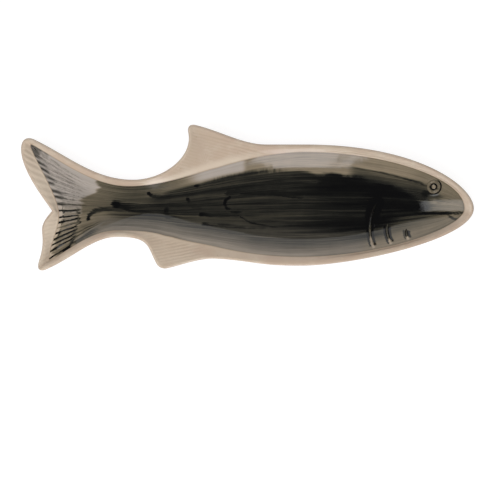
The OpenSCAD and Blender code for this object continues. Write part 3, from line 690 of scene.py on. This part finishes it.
def brushed_wash():
    """Density of the wash: thin on the walls, dense on the floor and most of all behind the head."""
    streaks = noise(coat_x / 110, lane * 14, 1) + 0.8 * noise(coat_x / 70, lane * 36, 2)
    ragged = noise(coat_x / 1.3, lane * 5, 3) * between(-0.2, 0.5, noise(coat_x / 30, lane, 4))
    y = coat_plan[..., 1]
    below_top = table_at(DARK_TOP, coat_x) - y
    above_low = y - table_at(DARK_LOW, coat_x)
    soft = mix(4, 11, between(-120, -20, coat_x) * (1 - 0.55 * between(150, 190, coat_x)))
    top_soft = mix(2.3, 5, between(115, 150, coat_x) + 0.4 * between(40, 15, coat_x))
    dark = between(-top_soft, top_soft, below_top + 0.9 * streaks + 1.5 * ragged)
    dark = dark * between(-soft, soft, above_low + 2.5 * streaks)
    floor = table_at(DARK_WASH, coat_x)
    stalk = between(-50, -120, coat_x)
    nose_end = between(170, 215, coat_x)
    under_line = table_at(HEAD_LINE, coat_x) - y + 0.8 * streaks
    lined = (0.17 * between(-0.8, 0.8, under_line) + 0.16 * between(1, 13, under_line)
             + 0.2 * between(1.5, 0.5, np.abs(under_line)))
    lined = window(110, 125, 200, 212, coat_x) * lined
    stalk_wall = STALK_WALL_WASH - 0.12 * between(-130, -180, coat_x)
    far = mix(FAR_WALL_WASH, stalk_wall, stalk) + 0.06 * nose_end + lined
    # The near wall is lighter towards the painted edge: partly thinner wash, partly painted reflection of
    # the backdrop
    near = mix(NEAR_WALL_WASH + 0.25 * between(0.05, 0.6, place), STALK_LOW_WASH, stalk) + 0.08 * nose_end
    # Painted reflection: a light strip along the top of the near wall, back from the head
    near = near - 0.09 * between(0.15, 0.10, place) * between(95, 60, coat_x)
    density = mix(mix(near, far, between(-6, 6, above_low - below_top)), floor, dark)
    density = density + (0.03 + 0.05 * dark) * streaks
    # Painted reflection of a lamp on the far wall, laid in as light wash
    density = mix(density, REFLECTION_PATCH_WASH + 0.04 * streaks, painted_reflection_patch())
    # The lobes' wash, with the painted reflection on the upper lobe
    density = mix(density, lobe_wash_and_reflection(lane) + 0.05 * streaks, on_lobes(coat_plan))
    for path, width, start, end in STROKES:
        density = stroke_over(density, path, width, start, end)
    return density + 0.08 * between(1.6, 0.4, edge_gap)


def gill_pools(density):
    """Colour that pooled beside the gill ridges, most of all round the top of the rear one."""
    for name, (gap, share) in gills.items():
        start = 0 if name == "rear" else 0.12
        ends = window(start - 0.02, start + 0.08, 0.95, 0.99, share)
        front = window(0.6, 1.6, 3, 4.6, gap)
        tail_side = (0.45 if name == "front" else 0.8) * window(-4.2, -3, -2.4, -1.4, gap)
        pool = ends * np.maximum(front, tail_side)
        if name == "rear":
            wide = mix(8.5, 3, between(0.25, 0.60, share))
            blot = between(wide + 0.5, wide - 2, np.abs(gap - 0.5)) * between(0.68, 0.54, share)
            pool = np.maximum(pool, blot)
        density = mix(density, np.maximum(density, POOL_WASH), pool)
        worn = between(0.76, 0.86, share) * between(2, 1.2, np.abs(gap)) * between(0.8, 2, edge_gap)
        density = mix(density, WORN_WASH, worn)
    return density


# Painted lines of the tail by the number of the ray: one in each groove above the fork, fewer below it
LOWER_LINES = 0.72
TAIL_LINES = ((-1, -1), (8, 8), (21, 8 + 13 * LOWER_LINES))


def tail_lines(plan, density):
    """Colour in the grooves between the tail's rays: whole lines below, only their tips above. Marks
    across the lines join some of their ends, and the trailing edge of the wash is ragged."""
    x, y = plan[..., 0], plan[..., 1]
    _, gap = round_hub(plan)
    rays = ray_number(plan)
    to_edge = np.interp(rays, range(len(ray_reach)), ray_reach) - gap
    pitch = gap * np.interp(rays, ray_numbers, np.gradient(ray_angles))
    lines = table_at(TAIL_LINES, rays)
    pitch = pitch / np.interp(rays, (7, 9), (1, LOWER_LINES))
    number = np.floor(lines) + 0.5
    luck = noise(number * 3.7, number * 0, 13)
    blots = noise(gap / 4, rays * 1.9, 7) + 0.7 * noise(gap / 1.7, rays * 3.1, 8)
    on_tail = between(-150, -180, x)
    lower = between(RAYS_PER_LOBE - 3.5, RAYS_PER_LOBE - 0.5, rays)
    off = np.abs(lines + mix(0.16, 0.09, lower) * noise(gap / 8, rays * 0.9, 6) - number) * pitch
    tips = between(11, 2, to_edge + 9 * luck + 4 * blots)
    half = mix(mix(0.35, 0.62 - 0.35 * luck, tips), np.minimum(0.22 * pitch, 0.85), lower)
    half = half + mix(0.55, 0.22, lower) * blots
    smudge = 0.45 * between(3.5, 0.8, off) * between(11, 3, to_edge + 6 * luck + 3 * blots)
    smudge = np.maximum(smudge, 0.5 * between(1, 0.3, rays) * between(20, 2, to_edge + 6 * blots))
    strength = mix(mix(0.25, 0.5, between(3, 8, rays)), 0.78 + 0.3 * luck, tips)
    strength = mix(strength, mix(0.35, 0.97, between(-0.65, -0.55, luck)), lower)
    inside = ray_hub[0] - x - RAY_START - 0.35 * np.maximum(-15 - y, 0) + 1.5 * blots
    faint = 0.4 * between(1.5 * RAYS_PER_LOBE, 1.7 * RAYS_PER_LOBE, rays) * between(-33, -13, inside)
    inner_end = between(mix(-18, -2, lower), mix(8, 1, lower), inside)
    line = np.maximum(inner_end, faint) * strength * between(half + 0.5, half - 0.4, off)
    inner_rail = (0.4 + 0.3 * blots) * between(2.8, 0.8, np.abs(inside))
    outer_rail = between(1.5, 0.5, np.abs(to_edge - 4.5 - 1.5 * blots))
    outer_rail = 0.85 * outer_rail * between(1.6, 1.45, rays / RAYS_PER_LOBE) * between(-0.25, 0.3, blots)
    beside_line = np.maximum((1 - lower) * smudge, lower * np.maximum(inner_rail, outer_rail))
    line = on_tail * np.maximum(line, beside_line)
    frayed = to_edge + 2.5 * noise(gap / 30, rays * 2.3, 10) - mix(5, 1.5, lower) * between(0.9, 2.4, off)
    bare = on_tail * between(4, 1, frayed) * (1 - 0.9 * line)
    return mix(mix(density, BARE_WASH, 0.92 * bare), 1, line)


wash = tail_lines(coat_plan, gill_pools(brushed_wash()))


def painted_reflection_tint(plan, lane_value):
    """Painted reflection: the wash is tinted greyer over the upper lobe of the tail and along the near wall,
    as if the glaze mirrored a pale sky.
    """
    x = plan[..., 0]
    on_near_wall = 0.5 * between(-0.2, -0.6, lane_value) * window(-185, -150, 120, 145, x)
    return np.maximum(on_lobes(plan) * between(-0.6, 0.4, lane_value), on_near_wall)


# Painted reflection: how far the wash is tinted grey, also on the far-wall patch
reflection_tint = np.maximum(painted_reflection_tint(coat_plan, lane), painted_reflection_patch())


# Meshes

def quads(index):
    """Faces of a grid of vertex numbers, which is closed from the last rib to the first."""
    following = np.roll(index, -1, axis=0)
    faces = np.stack([index[:, :-1], following[:, :-1], following[:, 1:], index[:, 1:]], axis=-1)
    return faces.reshape(-1, 4).tolist()


def skin(ribs, first_line, last_line):
    """Vertices and faces of a closed skin over ribs that start and end on two middle lines, which the
    ribs of opposite sides share."""
    rows = ribs.shape[1]
    number = np.arange(rib_count)
    mirror = np.minimum(number, rib_count - number)
    index = np.empty((rib_count, rows + 2), int)
    index[:, 1:-1] = number[:, None] * rows + np.arange(rows)
    index[:, 0] = rib_count * rows + mirror
    index[:, -1] = rib_count * rows + side_ribs + 1 + mirror
    return np.concatenate([ribs.reshape(-1, 3), first_line, last_line]), quads(index)


def spread(values, first_value, last_value):
    """Values of the ribs and of the two middle lines, in the order of the skin's vertices."""
    return np.concatenate([values.reshape(-1), np.broadcast_to(first_value, side_ribs + 1),
                           np.broadcast_to(last_value, side_ribs + 1)])


SHARP_ANGLE = math.radians(42)


def put_in_scene(name, data):
    thing = bpy.data.objects.new(name, data)
    bpy.context.scene.collection.objects.link(thing)
    return thing


def make_piece(name, points, faces, values=None):
    """A smooth mesh in the frame, with named values at its vertices. Points are in millimetres."""
    mesh = bpy.data.meshes.new(name)
    mesh.from_pydata(((points - centre) * DRAWN_IN * MM).tolist(), [], faces)
    mesh.validate()
    mesh.shade_smooth()
    mesh.set_sharp_from_angle(angle=SHARP_ANGLE)
    for key, numbers in (values or {}).items():
        layer = mesh.attributes.new(key, "FLOAT", "POINT")
        layer.data.foreach_set("value", np.asarray(numbers, np.float32))
    return put_in_scene(name, mesh)


# The face between clay and coat has fewer rows than the hollow, since nobody sees it
HIDDEN_ROWS = 26
kept_rows = np.linspace(0, hollow_grid.shape[1] - 1, HIDDEN_ROWS + 1).astype(int)[1:]
clay = hollow_grid[:, kept_rows] - vec(0, 0, GLAZE_T)
half_line = slice(0, side_ribs + 1)
FAR_AWAY = 99.0


def make_body():
    """The clay, with how far each point lies on top, its gap to the painted edge, and its tone: darker in
    grooves, with painted shade on the near rim of the head, and with painted highlights where the glaze
    would catch the light."""
    ribs = np.concatenate([under_grid[:, -2::-1], lip_grid, band_grid, clay[:, :-1]], axis=1)
    points, faces = skin(ribs, under_grid[half_line, -1], clay[half_line, -1])
    under_rows = under_grid.shape[1] - 1
    from_band = under_rows + LIP_STEPS + 1
    band = slice(from_band, from_band + BAND_STEPS)
    top = np.zeros(ribs.shape[:2])
    top[:, under_rows:from_band] = np.linspace(0, 1, LIP_STEPS + 1)
    top[:, from_band:] = 1
    paint_gap = np.full(ribs.shape[:2], FAR_AWAY)
    paint_gap[:, band] = norm(band_grid - band_grid[:, -1:])
    # Painted shade: the near rim of the head is toned darker
    near_head_shade = (hand < 0) * window(0.1, 0.25, 0.7, 0.95, rib_stations)
    groove_and_shade = np.zeros(ribs.shape[:2])
    groove_and_shade[:, band] = band_groove
    groove_and_shade[:, under_rows:band.stop] += near_head_shade[:, None]
    on_fin = window(WIDEST + 0.5, DORSAL_FRONT, STALK - 1, STALK, rib_stations)
    bare = between(0.6, 2, paint_gap)
    # Painted highlights on the band: the base of the dorsal fin, the tail's trailing edge, the far rim of
    # the head and the nose tip
    pale_tone_and_highlight = between(12, 4, paint_gap) * bare * ((hand > 0) * on_fin)[:, None]
    far_head_highlight = (hand > 0) * window(0.15, 0.4, 0.6, 0.95, rib_stations)
    nose_tip_highlight = between(0.09, 0.04, rib_stations)
    rim_highlight = between(LOBE_REAR - 0.6, LOBE_REAR + 0.4, rib_stations) + 0.7 * far_head_highlight + 0.7 * nose_tip_highlight
    pale_tone_and_highlight = np.maximum(pale_tone_and_highlight, 0.9 * rim_highlight[:, None] * bare * (paint_gap < FAR_AWAY))
    return make_piece("platter_body", points, faces,
                      {"top": spread(top, 0, 1), "paint_gap": spread(paint_gap, FAR_AWAY, 0),
                       "groove_and_shade": spread(groove_and_shade, 0, 0), "pale_tone_and_highlight": spread(pale_tone_and_highlight, 0, 0)})


def make_coat():
    ribs = np.concatenate([clay[:, -2::-1], hollow_grid[:, :-1]], axis=1)
    points, faces = skin(ribs, clay[half_line, -1], hollow_grid[half_line, -1])
    hidden = clay.shape[1] - 1

    def on_top(values):
        padded = np.concatenate([np.repeat(values[:, :1], hidden, axis=1), values[:, :-1]], axis=1)
        return np.concatenate([padded.reshape(-1), np.zeros(side_ribs + 1), values[half_line, -1]])

    return make_piece("painted_coat", points, faces, {
        "wash": on_top(wash), "lane": on_top(lane), "along": on_top(coat_x),
        "eye_gap": on_top(eye_gap), "eye_lean": on_top(eye_lean), "reflection_tint": on_top(reflection_tint)})


# Raised details, seated on the smooth coat

coat_index = np.arange(coat_x.size).reshape(coat_x.shape)
coat_tree = BVHTree.FromPolygons(hollow_grid.reshape(-1, 3).tolist(), quads(coat_index))
# Depth of a raised piece under the coat, and of the foot of its rounded face
SEAT, SUNK = 0.35, 0.1
ABOVE_ALL, DOWN = 100, Vector((0, 0, -1))


def coat_h(plan):
    """Heights of the coat over points of the plan."""
    heights = []
    for x, y in plan.reshape(-1, 2):
        hit = coat_tree.ray_cast(Vector((x, y, ABOVE_ALL)), DOWN)[0]
        heights.append(hit.z if hit else FLOOR_T)
    return np.array(heights).reshape(plan.shape[:-1])


def loop_faces(rings, around, closed=False):
    """Faces between rings of equal count. Closed rings join up from last to first."""
    faces = []
    for i in range(rings if closed else rings - 1):
        j = (i + 1) % rings
        for k in range(around):
            n = (k + 1) % around
            faces.append((i * around + k, i * around + n, j * around + n, j * around + k))
    return faces


RIDGE_ACROSS = 12


def ridge_mesh(path, width, height):
    """A rounded ridge along a path of the plan, tapered to both ends and sunk a little into the coat."""
    share = np.linspace(0, 1, len(path))
    run = np.gradient(path, axis=0)
    side = unit(np.stack([-run[:, 1], run[:, 0]], axis=1))
    full = np.sqrt(np.maximum(np.sin(math.pi * np.clip(share, 0.02, 0.98)), 0))
    t = np.linspace(-0.5, 0.5, RIDGE_ACROSS + 1)
    plan = path[:, None, :] + side[:, None, :] * (t[None, :] * width * full[:, None])[..., None]
    crest = height * full[:, None] * np.cos(math.pi * t)[None, :] ** 1.2
    ground = coat_h(plan)
    top, bottom = raised(plan, ground + crest - SUNK), raised(plan, ground - SEAT)[:, ::-1]
    rings = np.concatenate([top, bottom], axis=1)
    around = rings.shape[1]
    faces = loop_faces(len(path), around)
    faces.append(tuple(range(around))[::-1])
    faces.append(tuple((len(path) - 1) * around + k for k in range(around)))
    over_top = np.broadcast_to(np.cos(math.pi * t), top.shape[:2])
    up = np.concatenate([over_top, np.zeros(bottom.shape[:2])], axis=1)
    return rings.reshape(-1, 3), faces, up.reshape(-1), np.repeat(share, around)


def relief_piece(name, points, faces, wash_on_it):
    """A raised piece with the density of the wash at each of its points."""
    lane_value = lane_of(points[:, :2])
    return make_piece(name, points, faces, {"wash": wash_on_it, "lane": lane_value, "along": points[:, 0],
                                            "reflection_tint": painted_reflection_tint(points[:, :2], lane_value)})


def make_gill(name):
    """The wash is dense on a ridge's upper end and worn off its lower end."""
    points, faces, up, share = ridge_mesh(gill_path(name), GILL_W, GILL_H)
    upper_wash = 0.98 if name == "rear" else 0.72
    worn = between(0.72, 0.86, share)
    on_crest = mix(mix(upper_wash, 0.66, between(0.35, 0.6, share)), 0.14, worn)
    density = mix(0.95, on_crest, between(mix(0.35, 0.05, worn), mix(0.9, 0.5, worn), up))
    return relief_piece(f"gill_ridge_{name}_glazed", points, faces, density)


RAY_STEPS = 24


def make_rays():
    points, faces, crest = [], [], []
    total = 0
    for edge in ray_edges:
        inner = mix(ray_hub, edge, min(0.9, RAY_START / (ray_hub[0] - edge[0])))
        outer = towards(edge, ray_hub, RAY_MARGIN, 0.1)
        t = np.linspace(0, 1, RAY_STEPS + 1)[:, None]
        p, f, up, _ = ridge_mesh(mix(inner, outer, t), RAY_W, RAY_H)
        faces += [tuple(k + total for k in face) for face in f]
        total += len(p)
        points.append(p)
        crest.append(up)
    points = np.concatenate(points)
    # The rays carry the lobes' wash, with its painted reflection on the upper lobe
    plain = lobe_wash_and_reflection(lane_of(points[:, :2])) + 0.08 * between(0.7, 0.2, np.concatenate(crest))
    return relief_piece("tail_rays_glazed", points, faces, tail_lines(points[:, :2], plain))


EYE_SIDES, RING_ROWS, PUPIL_ROWS = 72, 15, 9


def eye_rings(profile):
    """Rings of points round the eye, for a profile of (radius, height above the coat)."""
    turn = np.linspace(0, 2 * math.pi, EYE_SIDES, endpoint=False)
    round_eye = np.stack([np.cos(turn), np.sin(turn)], axis=1)
    plan = eye + np.array([r for r, _ in profile])[None, :, None] * round_eye[:, None, :]
    return raised(plan, coat_h(plan) + np.array([h for _, h in profile])[None, :])


def make_eye_ring():
    t = np.linspace(0, math.pi, RING_ROWS)
    middle, half = EYE_R - EYE_RING_W / 2, EYE_RING_W / 2
    profile = [(middle - half * math.cos(a), EYE_RING_H * math.sin(a) ** 0.8 - SUNK) for a in t]
    profile += [(middle + half, -SEAT), (middle - half, -SEAT)]
    rings = eye_rings(profile)
    crest = [math.sin(a) for a in t] + [0, 0]
    points = rings.reshape(-1, 3)
    return relief_piece("eye_ring_glazed", points, loop_faces(EYE_SIDES, len(profile), closed=True),
                        mix(0.80, 0.55, between(0.15, 0.6, np.tile(crest, EYE_SIDES))))


def make_pupil():
    t = np.linspace(0, 0.5 * math.pi, PUPIL_ROWS + 1)[:-1]
    profile = [(PUPIL_R, -SEAT)] + [(PUPIL_R * math.cos(a), PUPIL_H * math.sin(a) - SUNK) for a in t]
    rings = eye_rings(profile)
    rows = len(profile)
    points = np.concatenate([rings.reshape(-1, 3), eye_rings([(0, PUPIL_H - SUNK)])[0],
                             eye_rings([(0, -SEAT)])[0]])
    top = EYE_SIDES * rows
    faces = []
    for i in range(EYE_SIDES):
        j = (i + 1) % EYE_SIDES
        faces += [(i * rows + k, j * rows + k, j * rows + k + 1, i * rows + k + 1) for k in range(rows - 1)]
        faces.append((i * rows + rows - 1, j * rows + rows - 1, top))
        faces.append((j * rows, i * rows, top + 1))
    radius = norm(points[:, :2] - eye) / PUPIL_R
    return relief_piece("eye_pupil_glazed", points, faces, mix(0.46, 0.98, between(0.60, 0.90, radius)))


# Materials

def srgb(*levels):
    """A colour from its screen levels, 0 to 255."""
    linear = [c / 255 / 12.92 if c <= 10 else ((c / 255 + 0.055) / 1.055) ** 2.4 for c in levels]
    return (*linear, 1)


CLAY_IOR, GLAZE_IOR = 1.5, 1.52


class Nodes:
    """Short forms for the nodes of one material or world."""

    def __init__(self, owner, shader="Principled BSDF"):
        owner.use_nodes = True
        self.owner, self.tree = owner, owner.node_tree
        self.shader = self.tree.nodes[shader]

    def link(self, source, target):
        if hasattr(source, "is_output"):
            self.tree.links.new(source, target)
        else:
            target.default_value = source

    def add(self, kind, inputs, output=0, **settings):
        """Output of a new node with these settings, whose inputs are given by name or number."""
        node = self.tree.nodes.new("ShaderNode" + kind)
        for name, setting in settings.items():
            setattr(node, name, setting)
        for name, source in inputs.items():
            self.link(source, node.inputs[name])
        return node.outputs[output]

    def value(self, name):
        return self.add("Attribute", {}, "Fac", attribute_name=name)

    def math(self, operation, a, b=0, c=0):
        return self.add("Math", {0: a, 1: b, 2: c}, operation=operation)

    def times(self, a, b):
        return self.math("MULTIPLY", a, b)

    def sway(self, source, amount):
        """A noise about its middle, times an amount."""
        return self.times(self.math("SUBTRACT", source, 0.5), amount)

    def vector(self, x, y, z):
        return self.add("CombineXYZ", {"X": x, "Y": y, "Z": z})

    def place(self):
        return self.add("TexCoord", {}, "Object")

    def noise(self, where, scale, detail=3, roughness=0.55):
        inputs = {"Vector": where, "Scale": scale, "Detail": detail, "Roughness": roughness}
        return self.add("TexNoise", inputs, "Fac")

    def span(self, source, low, high, to_low=0, to_high=1):
        inputs = {0: source, 1: low, 2: high, 3: to_low, 4: to_high}
        return self.add("MapRange", inputs, "Result", interpolation_type="SMOOTHSTEP")

    def ramp(self, source, colours):
        """The colour of the wash at a density, from a list of screen levels."""
        node = self.tree.nodes.new("ShaderNodeValToRGB")
        self.link(source, node.inputs["Fac"])
        marks = node.color_ramp.elements
        while len(marks) < len(colours):
            marks.new(0.5)
        for mark, at, levels in zip(marks, WASH_AT, colours):
            mark.position, mark.color = at, srgb(*levels)
        return node.outputs["Color"]

    def blend(self, share, a, b):
        return self.add("Mix", {0: share, 6: a, 7: b}, 2, data_type="RGBA")

    def bump(self, height, distance, strength=1):
        normal = self.add("Bump", {"Strength": strength, "Distance": distance, "Height": height}, "Normal")
        self.link(normal, self.shader.inputs["Normal"])

    def finish(self, colour, roughness, ior=CLAY_IOR):
        self.link(colour, self.shader.inputs["Base Color"])
        self.link(roughness, self.shader.inputs["Roughness"])
        self.shader.inputs["IOR"].default_value = ior
        return self.owner


# Densities of the wash, and its colours at these from thin to dense: warm, and the cool greys of its painted
# reflection
WASH_AT = (0, 0.30, 0.45, 0.56, 0.70, 0.83, 0.93, 1)
WARM_WASH = ((206, 187, 168), (168, 153, 131), (138, 125, 105), (109, 100, 83), (69, 65, 54),
             (39, 38, 33), (19, 19, 17), (6, 6, 7))
REFLECTED_GREY_WASH = ((200, 187, 176), (163, 155, 147), (133, 126, 119), (106, 101, 95), (68, 66, 62),
             (39, 38, 36), (19, 18, 18), (6, 6, 7))


def wash_colour(n, density):
    return n.blend(n.value("reflection_tint"), n.ramp(density, WARM_WASH), n.ramp(density, REFLECTED_GREY_WASH))


def streaks(n, along, lane_value):
    """Marks of the bristles, long along the stroke and fine across it."""
    def bristles(per_mm, across, layer, detail):
        where = n.vector(n.times(along, per_mm), n.times(lane_value, across), layer)
        return n.noise(where, 1, detail)

    broad, fine = bristles(0.012, 32, 0, 3), bristles(0.025, 85, 4, 2)
    return n.math("MULTIPLY_ADD", fine, 0.5, n.times(broad, 0.5))


def coat_material():
    n = Nodes(bpy.data.materials.new("brushed_glaze"))
    marks = streaks(n, n.value("along"), n.value("lane"))
    depth = n.sway(marks, n.span(n.value("wash"), 0.2, 0.8, 0.3, 0.6))
    depth = n.times(depth, n.span(n.value("wash"), 0.84, 0.98, 1, 0.35))
    density = n.math("ADD", n.value("wash"), depth)
    gap = n.value("eye_gap")

    def dark_ring(radius, start, full, fade, end):
        rise = n.span(gap, radius + start, radius + full)
        return n.times(rise, n.span(gap, radius + fade, radius + end, 1, 0))

    inner, outer = dark_ring(PUPIL_R, -0.3, 0.1, 0.6, 1.2), dark_ring(EYE_R, -0.7, -0.1, 0.8, 1.8)
    outer = n.times(outer, n.span(n.value("eye_lean"), -0.35, 0.45))
    rings = n.math("MAXIMUM", inner, outer)
    density = n.math("ADD", density, n.times(rings, 0.55))
    density = n.math("ADD", density, n.sway(n.noise(n.place(), 60, 3), 0.08))
    colour = wash_colour(n, density)
    n.bump(n.math("ADD", n.noise(n.place(), 130, 2), n.times(marks, 0.6)), 0.0002, 0.35)
    return n.finish(colour, n.span(n.noise(n.place(), 90, 2), 0.3, 0.7, 0.02, 0.05), GLAZE_IOR)


def relief_material():
    """Glaze over the raised details, blotched as the wash ran off them."""
    n = Nodes(bpy.data.materials.new("relief_glaze"))
    marks = streaks(n, n.value("along"), n.value("lane"))
    cloud = n.noise(n.place(), 300, 3)
    marked = n.math("MULTIPLY_ADD", n.math("SUBTRACT", marks, 0.5), 0.3, n.sway(cloud, 0.35))
    density = n.math("ADD", n.value("wash"), marked)
    colour = wash_colour(n, density)
    n.bump(cloud, 0.0002, 0.3)
    return n.finish(colour, n.span(cloud, 0.3, 0.7, 0.06, 0.12), GLAZE_IOR)


def clay_material():
    """Pale clay with warm clouds and fine grit, under clear glaze on top and satin below, with painted
    highlights and painted shade on the rim.
    """
    n = Nodes(bpy.data.materials.new("pale_stoneware"))
    where = n.place()
    clouds = n.noise(where, 14, 4)
    grain = n.noise(where, 420, 2)
    warm = n.blend(n.span(clouds, 0.35, 0.65), srgb(203, 184, 163), srgb(198, 176, 156))
    pale_tone_and_highlight = n.blend(n.span(n.noise(where, 45, 3), 0.4, 0.75), warm, srgb(209, 193, 173))
    speckled = n.blend(n.span(grain, 0.62, 0.8, 0, 0.35), pale_tone_and_highlight, srgb(165, 140, 116))
    line = n.span(n.value("paint_gap"), 0.2, 1.6, 0.55, 0)
    stains_shade_and_highlight = n.blend(line, speckled, srgb(150, 128, 103))
    # Darker in the grooves, and painted shade on the near rim of the head
    stains_shade_and_highlight = n.blend(n.times(n.value("groove_and_shade"), 0.24), stains_shade_and_highlight, srgb(163, 141, 121))
    # Painted highlight: lighter clay where the glaze would catch the light
    stains_shade_and_highlight = n.blend(n.times(n.value("pale_tone_and_highlight"), 0.6), stains_shade_and_highlight, srgb(226, 211, 191))
    top = n.span(n.value("top"), 0.25, 0.7)
    outside = n.blend(n.span(clouds, 0.3, 0.7), srgb(200, 172, 157), srgb(205, 180, 164))
    colour = n.blend(top, outside, stains_shade_and_highlight)
    n.bump(n.math("ADD", grain, n.times(clouds, 2)), 0.0002, 0.25)
    gloss = n.span(n.noise(where, 70, 2), 0.3, 0.7, 0.11, 0.18)
    return n.finish(colour, n.math("ADD", gloss, n.times(n.math("SUBTRACT", 1, top), 0.3)))


# The pieces

def seat(piece, node, material):
    piece.data.materials.append(material)
    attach(piece, "root")
    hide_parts(node)


seat(make_body(), "stoneware_body", clay_material())
seat(make_coat(), "painted_glaze", coat_material())
relief_glaze = relief_material()
for gill in GILL_BACK:
    seat(make_gill(gill), f"gill_ridge_{gill}", relief_glaze)
seat(make_rays(), "tail_rays", relief_glaze)
seat(make_eye_ring(), "eye_ring", relief_glaze)
seat(make_pupil(), "eye_pupil", relief_glaze)


# Stage, light and camera

IMAGE_PX = 500
MM_PER_PX = 1.124
AXIS_PX = (247.2, 197.6)
CAMERA_H = 2.6
SENSOR = 36
FLOOR_HALF, FLOOR_GREY = 6, (0.26, 0.26, 0.26, 1)
FLOOR_GLOW, GLOW_FOR_CAMERA = 0.48, 0.37
WORLD_LIGHT, WORLD_IN_GLOSS = 0.34, 0.08


def make_floor():
    half = FLOOR_HALF
    corners = [(-half, -half, 0), (half, -half, 0), (half, half, 0), (-half, half, 0)]
    mesh = bpy.data.meshes.new("floor")
    mesh.from_pydata(corners, [], [(0, 1, 2, 3)])
    floor = put_in_scene("floor", mesh)
    n = Nodes(bpy.data.materials.new("white_floor"))
    n.finish(FLOOR_GREY, 0.9)
    n.shader.inputs["Specular IOR Level"].default_value = 0
    seen = n.add("LightPath", {}, "Is Camera Ray")
    glow = n.add("Emission", {"Strength": n.math("MULTIPLY_ADD", seen, GLOW_FOR_CAMERA, FLOOR_GLOW)})
    both = n.add("AddShader", {0: n.shader.outputs[0], 1: glow})
    n.link(both, n.tree.nodes["Material Output"].inputs["Surface"])
    mesh.materials.append(n.owner)


def make_world():
    world = bpy.data.worlds.new("studio")
    bpy.context.scene.world = world
    n = Nodes(world, "Background")
    n.link((1, 1, 1, 1), n.shader.inputs["Color"])
    seen, in_gloss = n.add("LightPath", {}, "Is Camera Ray"), n.add("LightPath", {}, "Is Glossy Ray")
    unseen = n.add("MapRange", {"Value": in_gloss, "To Min": WORLD_LIGHT, "To Max": WORLD_IN_GLOSS})
    n.link(n.add("MapRange", {"Value": seen, "To Min": unseen, "To Max": 1}), n.shader.inputs["Strength"])


def softbox(name, place, aim, width, height, radiance, colour=(1, 1, 1), in_gloss=True, in_matt=True):
    """A rectangular lamp of even brightness that faces a point. It can be left out of reflections or of
    the light on matt surfaces."""
    data = bpy.data.lights.new(name, "AREA")
    data.shape = "RECTANGLE"
    data.size, data.size_y = width, height
    data.energy = radiance * math.pi * width * height
    data.color = colour
    lamp = put_in_scene(name, data)
    lamp.location = place
    lamp.rotation_euler = (Vector(aim) - Vector(place)).to_track_quat("-Z", "Y").to_euler()
    lamp.visible_glossy = in_gloss
    lamp.visible_diffuse = in_matt


def from_angle(azimuth, elevation, distance, x=0):
    """A place seen from a point of the platter's axis at this angle."""
    a, e = math.radians(azimuth), math.radians(elevation)
    level = distance * math.cos(e)
    return (x + level * math.cos(a), level * math.sin(a), distance * math.sin(e))


# Panes of the front window, which show as patches on the far wall: from x, to x, from z, to z, radiance
FRONT_PANES = ((-0.050, -0.005, 0.05, 0.80, 3.2), (0.012, 0.272, 0.05, 0.90, 3.7))
PANE_Y, PANE_COLOUR = -1.62, (0.98, 0.95, 1)


def make_lights():
    platter = (0, 0, 0.02)
    softbox("overhead", (-0.5, -0.7, 2.1), platter, 2.8, 2.4, 1.28, in_gloss=False)
    softbox("front", (0.12, PANE_Y, 0.78), platter, 0.8, 1.45, 1.6, in_gloss=False)
    for number, (left, right, low, high, radiance) in enumerate(FRONT_PANES):
        x, z = (left + right) / 2, (low + high) / 2
        size = right - left, high - low
        softbox(f"pane_{number}", (x, PANE_Y, z), (x, 0, z), *size, radiance, PANE_COLOUR)
    softbox("left", from_angle(-176.5, 58, 6, 0.22), platter, 3.5, 2.5, 2, (0.98, 0.98, 1))
    softbox("back", from_angle(97, 20, 1.8), platter, 2.2, 1.6, 0.85, in_matt=False)


def make_camera():
    data = bpy.data.cameras.new("camera")
    data.sensor_width = SENSOR
    px = MM_PER_PX * MM
    data.lens = SENSOR * (CAMERA_H - RIM_H * MM) / (IMAGE_PX * px)
    camera = put_in_scene("camera", data)
    middle = IMAGE_PX / 2
    camera.location = ((middle - AXIS_PX[0]) * px, (AXIS_PX[1] - middle) * px, CAMERA_H)
    bpy.context.scene.camera = camera


make_floor()
make_world()
make_lights()
make_camera()
bpy.context.scene.view_settings.view_transform = "Standard"
